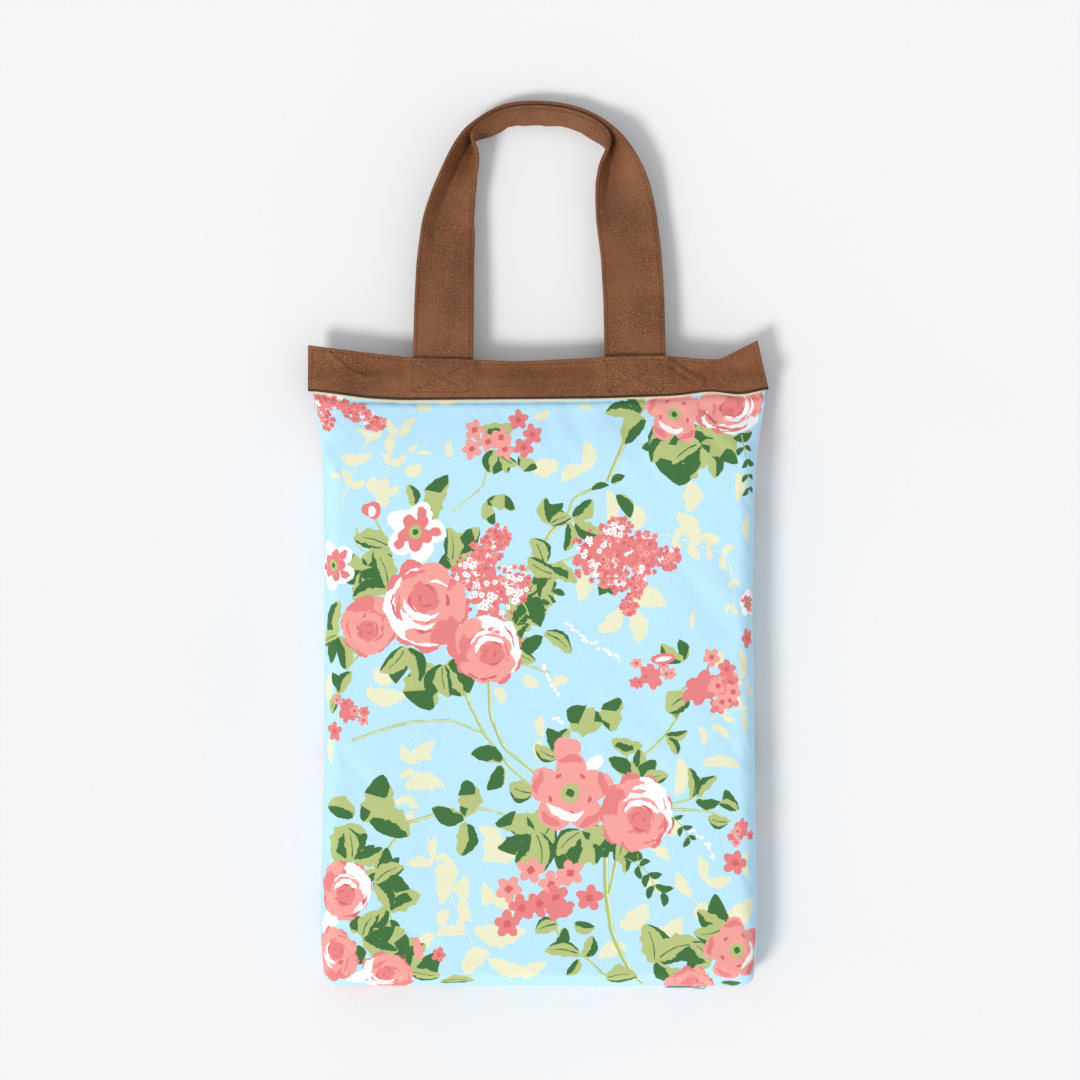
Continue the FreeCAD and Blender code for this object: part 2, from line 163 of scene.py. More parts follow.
def ply(name, middle, half, material):
    """A sheet round a (rows, columns, 3) grid of middle points.

    half is its half thickness at each point, which is nothing at the rim."""
    normal = grid_normals(middle)
    rows, columns = half.shape
    top = np.arange(rows * columns).reshape(rows, columns)
    low = top.copy()
    inside = (slice(1, -1), slice(1, -1))
    low[inside] = rows * columns + np.arange((rows - 2) * (columns - 2)).reshape(rows - 2, -1)
    upper = middle + normal * half[..., None]
    lower = middle - normal * half[..., None]
    points = np.concatenate([upper.reshape(-1, 3), lower[inside].reshape(-1, 3)])
    return mesh_piece(name, points, grid_faces(top) + grid_faces(low, flip=True), material)


def rim_samples(length, step, radius):
    """Positions from 0 to length, closer within radius of each end so that a rim comes out round."""
    near = radius * np.array([0.0, 0.06, 0.22, 0.5, 1.0])
    count = max(2, int(round((length - 2 * radius) / step)))
    inner = np.linspace(radius, length - radius, count + 1)[1:-1]
    return np.concatenate([near, inner, length - near[::-1]])


def rim_thickness(distance, half):
    """Half thickness that rounds off to nothing at the rim."""
    t = np.clip(distance / half, 0.0, 1.0)
    return half * np.sqrt(np.clip(1.0 - (1.0 - t) ** 2, 0.0, 1.0))


STITCH_LENGTH = 3.0
STITCH_RADIUS = 0.33
STITCH_SIDES = 8


def thread(name, centres, along, up, material):
    """Separate stitches: each is a short capsule that dips into the surface at its two ends."""
    stations = np.array([-0.5, -0.38, -0.15, 0.15, 0.38, 0.5]) * STITCH_LENGTH
    widths = STITCH_RADIUS * np.array([0.35, 0.9, 1.0, 1.0, 0.9, 0.35])
    heights = STITCH_RADIUS * np.array([-1.1, -0.1, 0.25, 0.25, -0.1, -1.1])
    turn = np.linspace(0.0, 2.0 * np.pi, STITCH_SIDES, endpoint=False)
    along = along / np.linalg.norm(along, axis=1, keepdims=True)
    up = up - (up * along).sum(1, keepdims=True) * along
    up /= np.linalg.norm(up, axis=1, keepdims=True)
    side = np.cross(along, up)
    ring = (
        centres[:, None, None, :]
        + along[:, None, None, :] * stations[None, :, None, None]
        + up[:, None, None, :] * heights[None, :, None, None]
        + up[:, None, None, :] * (widths[:, None] * np.sin(turn))[None, :, :, None]
        + side[:, None, None, :] * (widths[:, None] * np.cos(turn))[None, :, :, None]
    )
    count, n_st, n_turn = ring.shape[:3]
    one = np.arange(n_st * n_turn).reshape(n_st, n_turn)
    wrapped = np.concatenate([one, one[:, :1]], 1)
    faces = []
    tube = np.array(grid_faces(wrapped, flip=True))
    for k in range(count):
        base = k * n_st * n_turn
        faces += (tube + base).tolist()
        faces.append((one[0] + base).tolist())
        faces.append((one[-1][::-1] + base).tolist())
    return mesh_piece(name, ring, faces, material)


# ---------------------------------------------------------------- materials

def linear(red, green, blue):
    """A screen colour of 0 to 255 as the linear colour that a shader takes."""
    def channel(c):
        c /= 255.0
        return c / 12.92 if c <= 0.04045 else ((c + 0.055) / 1.055) ** 2.4
    return (channel(red), channel(green), channel(blue), 1.0)


class Shader:
    """A Principled material with short calls for the nodes that feed it."""

    def __init__(self, name, **values):
        self.material = bpy.data.materials.new(name)
        self.material.use_nodes = True
        self.tree = self.material.node_tree
        self.surface = self.tree.nodes["Principled BSDF"]
        self.place = self.node("ShaderNodeTexCoord").outputs["Object"]
        for key, value in values.items():
            self.surface.inputs[key.replace("_", " ")].default_value = value

    def node(self, kind, **settings):
        made = self.tree.nodes.new(kind)
        for key, value in settings.items():
            setattr(made, key, value)
        return made

    def link(self, a, b):
        self.tree.links.new(a, b)

    def noise(self, scale, detail, roughness):
        made = self.node("ShaderNodeTexNoise")
        made.inputs["Scale"].default_value = scale
        made.inputs["Detail"].default_value = detail
        made.inputs["Roughness"].default_value = roughness
        self.link(self.place, made.inputs["Vector"])
        return made.outputs["Fac"]

    def cells(self, scale, feature, place=None):
        made = self.node("ShaderNodeTexVoronoi", feature=feature)
        made.inputs["Scale"].default_value = scale
        self.link(place or self.place, made.inputs["Vector"])
        return made.outputs["Distance"]

    def wobbled(self, scale, amount, stretch):
        """The place, stretched and pushed about by noise, so that a pattern on it looks grown."""
        mapping = self.node("ShaderNodeMapping")
        mapping.inputs["Scale"].default_value = stretch
        self.link(self.place, mapping.inputs["Vector"])
        shake = self.node("ShaderNodeTexNoise")
        shake.inputs["Scale"].default_value = scale
        self.link(self.place, shake.inputs["Vector"])
        made = self.node("ShaderNodeVectorMath", operation="MULTIPLY_ADD")
        self.link(shake.outputs["Color"], made.inputs[0])
        made.inputs[1].default_value = (amount, amount, amount)
        self.link(mapping.outputs["Vector"], made.inputs[2])
        return made.outputs["Vector"]

    def times(self, a, b):
        """a times b."""
        made = self.node("ShaderNodeMath", operation="MULTIPLY")
        self.link(a, made.inputs[0])
        self.link(b, made.inputs[1])
        return made.outputs["Value"]

    def waves(self, scale, direction, distortion=0.0):
        made = self.node("ShaderNodeTexWave", bands_direction=direction)
        made.inputs["Scale"].default_value = scale
        made.inputs["Distortion"].default_value = distortion
        made.inputs["Detail"].default_value = 1.0
        self.link(self.place, made.inputs["Vector"])
        return made.outputs["Fac"]

    def ramp(self, value, *stops):
        """stops are (position, colour)."""
        made = self.node("ShaderNodeValToRGB")
        stack = made.color_ramp.elements
        while len(stack) < len(stops):
            stack.new(0.5)
        for element, (position, colour) in zip(stack, stops):
            element.position = position
            element.color = colour
        self.link(value, made.inputs["Fac"])
        return made.outputs["Color"]

    def span(self, value, low, high, start=0.0, end=1.0):
        """value, which runs from start to end, brought to run from low to high."""
        made = self.node("ShaderNodeMapRange")
        for key, number in zip(("From Min", "From Max", "To Min", "To Max"), (start, end, low, high)):
            made.inputs[key].default_value = number
        self.link(value, made.inputs["Value"])
        return made.outputs["Result"]

    def blend(self, mode, a, b, amount):
        """b over a. Each value may be another node's output or a plain number or colour."""
        made = self.node("ShaderNodeMix", data_type="RGBA", blend_type=mode)
        sockets = {s.name: s for s in made.inputs if s.type == "RGBA"}
        for socket, value in ((made.inputs["Factor"], amount), (sockets["A"], a), (sockets["B"], b)):
            if isinstance(value, (float, tuple)):
                socket.default_value = value
            else:
                self.link(value, socket)
        return [s for s in made.outputs if s.type == "RGBA"][0]

    def add(self, a, b, share=1.0):
        """a plus that share of b."""
        made = self.node("ShaderNodeMath", operation="MULTIPLY_ADD")
        made.inputs[1].default_value = share
        self.link(b, made.inputs[0])
        self.link(a, made.inputs[2])
        return made.outputs["Value"]

    def bump(self, height, distance, strength=1.0):
        """A surface direction from a height of that many metres."""
        made = self.node("ShaderNodeBump")
        made.inputs["Strength"].default_value = strength
        made.inputs["Distance"].default_value = distance
        self.link(height, made.inputs["Height"])
        return made.outputs["Normal"]

    def finish(self, colour, roughness=None, normal=None):
        for value, key in ((colour, "Base Color"), (roughness, "Roughness"), (normal, "Normal")):
            if value is not None:
                self.link(value, self.surface.inputs[key])
        return self.material


# The leather's browns, as a place on its mottling and a screen colour.
BROWNS = ((0.30, (127, 78, 47)), (0.52, (140, 88, 54)), (0.74, (152, 98, 62)))


def leather_material(name, tone=1.0):
    """Brown faux leather of a soft mottled tone.

    Its pebbles have painted shade in the furrows between them and a painted highlight on their tops, bolder
    here and there."""
    s = Shader(name, Specular_IOR_Level=0.32)
    broad = s.noise(26.0, 3.0, 0.5)
    bold = s.span(s.noise(30.0, 2.0, 0.5), 0.3, 1.0, 0.36, 0.6)
    pebble_edge = s.cells(450.0, "DISTANCE_TO_EDGE", s.wobbled(420.0, 0.0030, (1.0, 1.5, 1.2)))
    pebbles = s.times(s.span(pebble_edge, 0.0, 1.0, 0.0, 0.22), bold)
    fine = s.noise(1500.0, 3.0, 0.65)
    tones = s.ramp(broad, *((at, linear(*(c * tone for c in brown))) for at, brown in BROWNS))
    # Painted shade in the furrows between pebbles, and a painted highlight on the pebbles' tops.
    furrow_shade_pebble_highlight = s.ramp(
        s.span(pebble_edge, 0.0, 1.0, 0.0, 0.32),
        (0.0, (0.50, 0.46, 0.42, 1.0)),
        (0.35, (0.90, 0.89, 0.88, 1.0)),
        (1.0, (1.18, 1.17, 1.15, 1.0)),
    )
    specks = s.ramp(fine, (0.35, (0.86, 0.85, 0.84, 1.0)), (0.65, (1.08, 1.08, 1.08, 1.0)))
    grain_shaded = s.blend("MULTIPLY", tones, furrow_shade_pebble_highlight, s.span(bold, 0.45, 1.0, 0.3, 1.0))
    colour = s.blend("MULTIPLY", grain_shaded, specks, 0.8)
    normal = s.bump(s.add(s.add(pebbles, fine, 0.35), broad, 0.5), 0.00028, 1.0)
    return s.finish(colour, s.span(fine, 0.46, 0.66), normal)


def printed_material(name):
    """Printed cotton: the colour is the print's own, with a fine diagonal weave."""
    s = Shader(name, Specular_IOR_Level=0.2, Sheen_Weight=0.12, Sheen_Roughness=0.5)
    printed = s.node("ShaderNodeVertexColor", layer_name="print").outputs["Color"]
    weave = s.add(s.waves(470.0, "DIAGONAL"), s.waves(330.0, "Y"), 0.6)
    fibres = s.noise(900.0, 2.0, 0.7)
    shade = s.ramp(fibres, (0.3, (0.93, 0.93, 0.94, 1.0)), (0.7, (1.04, 1.04, 1.03, 1.0)))
    colour = s.blend("MULTIPLY", printed, shade, 0.7)
    normal = s.bump(s.add(weave, fibres, 0.7), 0.00012, 0.5)
    return s.finish(colour, s.span(fibres, 0.78, 0.92), normal)


def tape_material(name, colour_low, colour_high, scale=900.0):
    s = Shader(name, Specular_IOR_Level=0.2, Sheen_Weight=0.1)
    ribs = s.waves(scale, "DIAGONAL")
    fibres = s.noise(700.0, 2.0, 0.6)
    colour = s.ramp(fibres, (0.3, colour_low), (0.7, colour_high))
    normal = s.bump(s.add(ribs, fibres, 0.5), 0.00015, 0.6)
    return s.finish(colour, s.span(fibres, 0.7, 0.9), normal)


def thread_material(name):
    s = Shader(name, Specular_IOR_Level=0.4)
    strands = s.waves(1500.0, "DIAGONAL", 1.0)
    tones = s.ramp(strands, (0.2, linear(74, 44, 27)), (0.8, linear(126, 82, 54)))
    return s.finish(tones, s.span(strands, 0.4, 0.6), s.bump(strands, 0.0001, 0.6))


def metal_material(name, colour, scale):
    s = Shader(name, Metallic=1.0)
    wear = s.noise(scale, 4.0, 0.6)
    low = tuple(c * 0.72 for c in colour[:3]) + (1.0,)
    tones = s.ramp(wear, (0.35, low), (0.65, colour))
    return s.finish(tones, s.span(wear, 0.24, 0.45), s.bump(wear, 0.00008, 0.4))


def foam_material(name):
    s = Shader(name, Specular_IOR_Level=0.15)
    pores = s.cells(450.0, "F1")
    colour = s.ramp(pores, (0.1, linear(196, 188, 160)), (0.6, linear(236, 230, 205)))
    return s.finish(colour, s.span(pores, 0.85, 1.0), s.bump(pores, 0.0006, 0.8))


def floor_material(name):
    s = Shader(name, Specular_IOR_Level=0.1, Roughness=0.9)
    paper = s.noise(3.0, 2.0, 0.5)
    colour = s.ramp(paper, (0.3, (0.815, 0.822, 0.832, 1.0)), (0.7, (0.835, 0.84, 0.85, 1.0)))
    return s.finish(colour)


# ---------------------------------------------------------------- the cover's shape

PAD_LOW, PAD_HIGH = box_mm("back_panel")[0], box_mm("front_panel")[1]
BAND_HIGH = box_mm("band_front")[1]
MID = (PAD_LOW[2] + PAD_HIGH[2]) / 2
HALF_DEPTH = MID - PAD_LOW[2]
# Half the cover's thickness at the band's top edge, and how fast it grows below there.
TOP_HALF_GAP = 1.45
TAPER = 0.3
# The flat panel: half its width at the seams, its mouth under the band, and what turns into the seams.
PANEL_HALF = 162.0
MOUTH_Y = 114.0
SEAM_TUCK = 2.4
# The round end of the pad: its radius, where it begins, and how much cloth lies round it.
END_R = 12.0
END_Y = PAD_LOW[1] + END_R
END_WRAP = 24.6
CORNER_ROUNDING = 0.8
# The zip's opening: half its length, how far each lip stands off the middle, and how much further in
# the front lip ends.
ZIP_HALF = 122.0
LIP = 4.1
FRONT_LIP_BACK = 0.9
# How much the front panel swells over the foam.
CROWN = 0.9
# Half widths of the pad at each y.
LEFT_SIDE = (
    (-305, 148), (-270, 150.5), (-142, 148), (-38, 147.6), (50, 148.5), (76, 151), (100, 156), (126, 157),
)
RIGHT_SIDE = (
    (-305, 149), (-281, 151.5), (-142, 150.2), (-38, 148.4), (40, 150), (76, 153), (100, 157.5),
    (126, 158.2),
)


def half_gap(y):
    """Half the cover's thickness: full on the foam, tapering towards the band."""
    slope = TOP_HALF_GAP + (BAND_HIGH[1] - y) * TAPER
    soft = 5.0
    t = np.clip(0.5 + 0.5 * (HALF_DEPTH - slope) / soft, 0.0, 1.0)
    return mix(HALF_DEPTH, slope, t) - soft * t * (1.0 - t)


def side_radius(y):
    """How far in from its side the cover begins to turn down: little on the foam, much near the band."""
    return 12.5 + 45.0 * smooth((y - 52.0) / 50.0)


def quarter_arc(a, b):
    """Length of a quarter of an ellipse."""
    t = ((a - b) / (a + b)) ** 2
    return math.pi / 4 * (a + b) * (1 + 3 * t / (10 + np.sqrt(4 - 3 * t)))


def half_width(y, right):
    """Half the pad's width at each y, on its right or its left."""
    return np.where(right, curve_value(RIGHT_SIDE, y, 9), curve_value(LEFT_SIDE, y, 9))


def panel_point(u, v, face, inset=0.0):
    """Where a point (u, v) of a flat panel lies once it is sewn round the foam.

    face is 1 for the front panel and -1 for the back one."""
    y_flat = np.maximum(v, END_Y)
    right = u > 0
    width = half_width(y_flat, right) - inset
    radius = side_radius(y_flat)
    depth = half_gap(y_flat) - inset
    wrap = quarter_arc(radius, depth)
    room = PANEL_HALF - np.abs(u)
    across = np.abs(u) * (width - radius) / (PANEL_HALF - wrap)
    turn = np.clip(1.0 - room / wrap, 0.0, 1.0) * math.pi / 2
    p = np.sin(turn) + np.minimum(room, 0.0) / radius
    below = v - (END_Y - END_WRAP)
    end_turn = np.clip(1.0 - below / END_WRAP, 0.0, 1.0) * math.pi / 2
    q = np.sin(end_turn) + np.minimum(below, 0.0) / END_R
    p_round = p * np.sqrt(1.0 - CORNER_ROUNDING * q * q / 2)
    q_round = q * np.sqrt(1.0 - CORNER_ROUNDING * p * p / 2)
    x = np.where(room > wrap, across, width - radius + radius * p_round)
    zip_zone = 1.0 - smooth((np.abs(x) - ZIP_HALF + 6.0) / 10.0)
    lip_out = zip_zone * (0.0 if face < 0 else -FRONT_LIP_BACK)
    y = np.where(v > END_Y, v, END_Y - (END_R - inset + lip_out) * q_round)
    lip = 0.3 + (LIP * zip_zone) * np.sin(end_turn) ** 2
    bulge = CROWN * (1 - (x / 150.0) ** 4) * (1 - ((y + 120.0) / 200.0) ** 4) if face > 0 else 0.0
    lift = lip + (depth + np.maximum(bulge, 0.0) - lip) * np.cos(turn) * np.cos(end_turn)
    return np.stack([np.where(right, x, -x), y, MID + face * lift], -1)


SEWN_EDGES = (np.s_[0, :], np.s_[:, 0], np.s_[:, -1])


def sewn_panels(u, v, inset=0.0):
    """Points of both panels' grids, met at their seams, and each grid's point numbers."""
    front, back = (panel_point(u, v, face, inset) for face in (1, -1))
    upper = np.arange(u.size).reshape(u.shape)
    lower = upper + u.size
    for edge in SEWN_EDGES:
        front[edge] = (front[edge] + back[edge]) / 2
        lower[edge] = upper[edge]
    return np.concatenate([front.reshape(-1, 3), back.reshape(-1, 3)]), upper, lower


RELAX_STEP = 5.0
RELAX_FRAMES = 18
# Above this the panels are held by the band.
HELD_Y = 97
CLOTH = {
    "quality": 6, "mass": 0.15, "tension_stiffness": 18.0, "compression_stiffness": 18.0,
    "shear_stiffness": 6.0, "bending_stiffness": 0.05, "tension_damping": 12.0,
    "compression_damping": 12.0, "shear_damping": 12.0, "shrink_min": -0.011, "use_pressure": True,
    "uniform_pressure_force": 1.0,
}


def blown_up(blank, held):
    """Where a cloth blank's points come to rest, in millimetres. The points numbered in held stay put."""
    group = blank.vertex_groups.new(name="held")
    group.add(held, 1.0, "REPLACE")
    cloth = blank.modifiers.new("cloth", "CLOTH")
    for key, value in CLOTH.items():
        setattr(cloth.settings, key, value)
    cloth.settings.effector_weights.gravity = 0.0
    cloth.settings.vertex_group_mass = "held"
    cloth.collision_settings.use_collision = False
    scene = bpy.context.scene
    scene.frame_start = 1
    scene.frame_end = RELAX_FRAMES
    cloth.point_cache.frame_start = 1
    cloth.point_cache.frame_end = RELAX_FRAMES
    for frame_number in range(1, RELAX_FRAMES + 1):
        scene.frame_set(frame_number)
    done = blank.evaluated_get(bpy.context.evaluated_depsgraph_get()).data
    moved = np.empty(len(blank.data.vertices) * 3)
    done.vertices.foreach_get("co", moved)
    scene.frame_set(1)
    return moved.reshape(-1, 3) / MM


def relaxed():
    """How far a simulation of the sewn cover moves it, off its rest shape, on a coarse grid of each panel.

    The cloth is cut a little larger than the pad, held at its seams and under the band, and blown
    up softly from inside, so that it ripples where it is held."""
    us = np.linspace(-PANEL_HALF, PANEL_HALF, int(2 * PANEL_HALF / RELAX_STEP) + 1)
    low_v = END_Y - END_WRAP
    vs = np.linspace(low_v, MOUTH_Y, int((MOUTH_Y - low_v) / RELAX_STEP) + 1)
    u, v = np.meshgrid(us, vs)
    points, upper, lower = sewn_panels(u, v)
    faces = np.array(grid_faces(upper) + grid_faces(lower, flip=True))
    used, index = np.unique(faces, return_inverse=True)
    blank = mesh_piece("cover_blank", points[used], index.reshape(faces.shape).tolist())
    side = PANEL_HALF - np.abs(np.tile(u.ravel(), 2)[used])
    v_used = np.tile(v.ravel(), 2)[used]
    held = (v_used > HELD_Y) | (side < 0.1) | (v_used < low_v + 0.1)
    settled = np.full(points.shape, np.nan)
    settled[used] = blown_up(blank, np.flatnonzero(held).tolist())
    bpy.data.objects.remove(blank)
    offsets = np.zeros((2,) + u.shape)
    for k, (numbers, face) in enumerate(((upper, 1), (lower, -1))):
        rest = points[numbers]
        outward = grid_normals(rest) * face
        offsets[k] = ripples_of(((settled[numbers] - rest) * outward).sum(2), PANEL_HALF - np.abs(u))
    return us, vs, offsets


def ripples_of(height, side):
    """The ripples of a blown-up panel without its swelling.

    Near the sides these are the ripples that run in from them, elsewhere those from the ends."""
    def unswollen(axis):
        weights = np.exp(-0.5 * (np.arange(-12, 13) / 4.0) ** 2)
        weights /= weights.sum()
        return height - np.apply_along_axis(
            lambda line: np.convolve(np.pad(line, 12, mode="edge"), weights, "valid"), axis, height
        )

    near_side = np.exp(-(side / 45.0) ** 2)
    ripples = mix(unswollen(1), unswollen(0), near_side) * smooth((side - 2.0) / 14.0)
    return 1.5 * np.tanh(ripples / 2.2)


def bicubic(us, vs, table, u, v):
    """Smooth value of an evenly spaced table of (v, u) at each place."""
    gx = np.clip((u - us[0]) / (us[1] - us[0]), 0, len(us) - 1.001)
    gy = np.clip((v - vs[0]) / (vs[1] - vs[0]), 0, len(vs) - 1.001)
    ix, iy = gx.astype(int), gy.astype(int)

    def weights(f):
        return (
            -0.5 * f + f * f - 0.5 * f ** 3, 1 - 2.5 * f * f + 1.5 * f ** 3,
            0.5 * f + 2 * f * f - 1.5 * f ** 3, -0.5 * f * f + 0.5 * f ** 3,
        )

    wx, wy = weights(gx - ix), weights(gy - iy)
    total = np.zeros(np.shape(u))
    for i in range(4):
        for j in range(4):
            column = np.clip(ix + i - 1, 0, len(us) - 1)
            row = np.clip(iy + j - 1, 0, len(vs) - 1)
            total += wx[i] * wy[j] * table[row, column]
    return total


def puckers(u, v):
    """Small ripples that run in from the seams, and soft folds under the band, as a height."""
    side = PANEL_HALF - np.abs(u)
    near_side = np.exp(-((side - 16.0) / 14.0) ** 2)
    low = v - (END_Y - END_WRAP)
    near_end = np.exp(-((low - 20.0) / 12.0) ** 2)
    near_top = smooth((v - 55.0) / 40.0)
    ripples = near_side * noise(u * 0.12, v, 11.0, 5) * 0.55
    ripples += near_end * noise(u, v * 0.12, 13.0, 6) * 0.6
    folds = near_top * (noise(u, v * 0.4, 21.0, 7) * 0.8 + noise(u, v, 8.0, 8) * 0.2)
    rest = noise(u, v, 60.0, 9) * 0.5 + noise(u, v, 26.0, 10) * 0.18
    below = curve_value(BAND_BOTTOM, np.clip(u, -150, 150), 6) - v
    rest += 0.8 * np.exp(-((below - 6.5) / 3.2) ** 2) - 1.3 * np.exp(-((below - 1.9) / 1.3) ** 2)
    return ripples + folds + rest


RELAXED = relaxed()
# How much of puckers() is used.
PUCKER = 0.8


def cover_surface(u, v, face):
    """Points of a cover panel, with its ripples pushed out along the surface.

    At the end with the zip they are kept low, so that the zip's tapes don't come through."""
    u, v = np.asarray(u, float), np.asarray(v, float)
    here = panel_point(u, v, face)
    step = 0.5
    du = panel_point(u + step, v, face) - panel_point(u - step, v, face)
    dv = panel_point(u, v + step, face) - panel_point(u, v - step, face)
    normal = np.cross(du, dv) * face
    normal /= np.maximum(np.linalg.norm(normal, axis=-1, keepdims=True), 1e-6)
    keep = smooth((PANEL_HALF - np.abs(u)) / 4.0) * smooth((v - END_Y + END_WRAP) / 4.0)
    us, vs, offsets = RELAXED
    settled = bicubic(us, vs, offsets[0 if face > 0 else 1], u, v)
    height = np.clip(puckers(u, v) * PUCKER + settled, -1.3, 3.2) * keep
    if face < 0:
        height = np.minimum(height, 0.0) * 0.5
    inland = smooth((v - END_Y + 8.0) / 14.0)
    height = np.clip(height, -0.2 - 1.1 * inland, 0.15 + 3.05 * inland)
    return here + normal * height[..., None]


# ---------------------------------------------------------------- the print

SKY = linear(187, 229, 251)
CREAM = linear(234, 233, 200)
LEAF = linear(181, 194, 126)
DARK = linear(66, 112, 62)
CORAL = linear(230, 130, 131)
SALMON = linear(243, 162, 155)
ROSE = linear(214, 104, 106)
WHITE = linear(255, 250, 252)
STEM = linear(172, 196, 118)


# The dark patches on each kind of leaf: from and to along it, then its inner and outer edge across it.
LEAF_MARKS = (
    ((0.04, 0.97, 0.08, 1.08),),
    ((0.55, 1.0, lambda t: -1.1 + 1.9 * (1 - t), 1.1), (0.0, 0.28, 0.1, 0.95)),
    ((0.02, 0.98, 0.72, 1.16),),
    ((0.02, 1.0, lambda t: -0.85 + 0.25 * np.sin(7 * t), 1.06),),
    ((0.15, 0.75, -0.35, 0.5),),
)
# The kind of leaf that has a dark vein too.
VEINED = 2
# A rose's outer petals: angle from its own, size and colour.
ROSE_PETALS = (
    (118, 0.46, WHITE), (72, 0.44, WHITE), (25, 0.40, WHITE), (-30, 0.40, SALMON), (-85, 0.42, SALMON),
    (168, 0.40, SALMON), (215, 0.38, CORAL),
)


# The parts of a lilac's head: place along it, place across it and size.
LILAC_LOBES = (
    (0.2, 0.0, 0.95), (0.42, 0.62, 0.62), (0.36, -0.68, 0.58), (0.7, 0.25, 0.55), (0.95, -0.1, 0.4),
)


def turned(x, y, angle, px, py):
    """Points px, py turned by an angle in degrees and moved to (x, y)."""
    c, s = math.cos(math.radians(angle)), math.sin(math.radians(angle))
    return np.stack([x + c * px - s * py, y + s * px + c * py], -1)


def pairs_along(points, steps, count):
    """Where the leaf pairs of a twig sit, at each step out of count: x, y and heading in degrees."""
    line = even_path(points, 1.5, 3.0)
    for step in steps:
        at = int((len(line) - 1) * step / count)
        dx, dy = line[at] - line[max(at - 2, 0)]
        yield line[at, 0], line[at, 1], math.degrees(math.atan2(dy, dx))


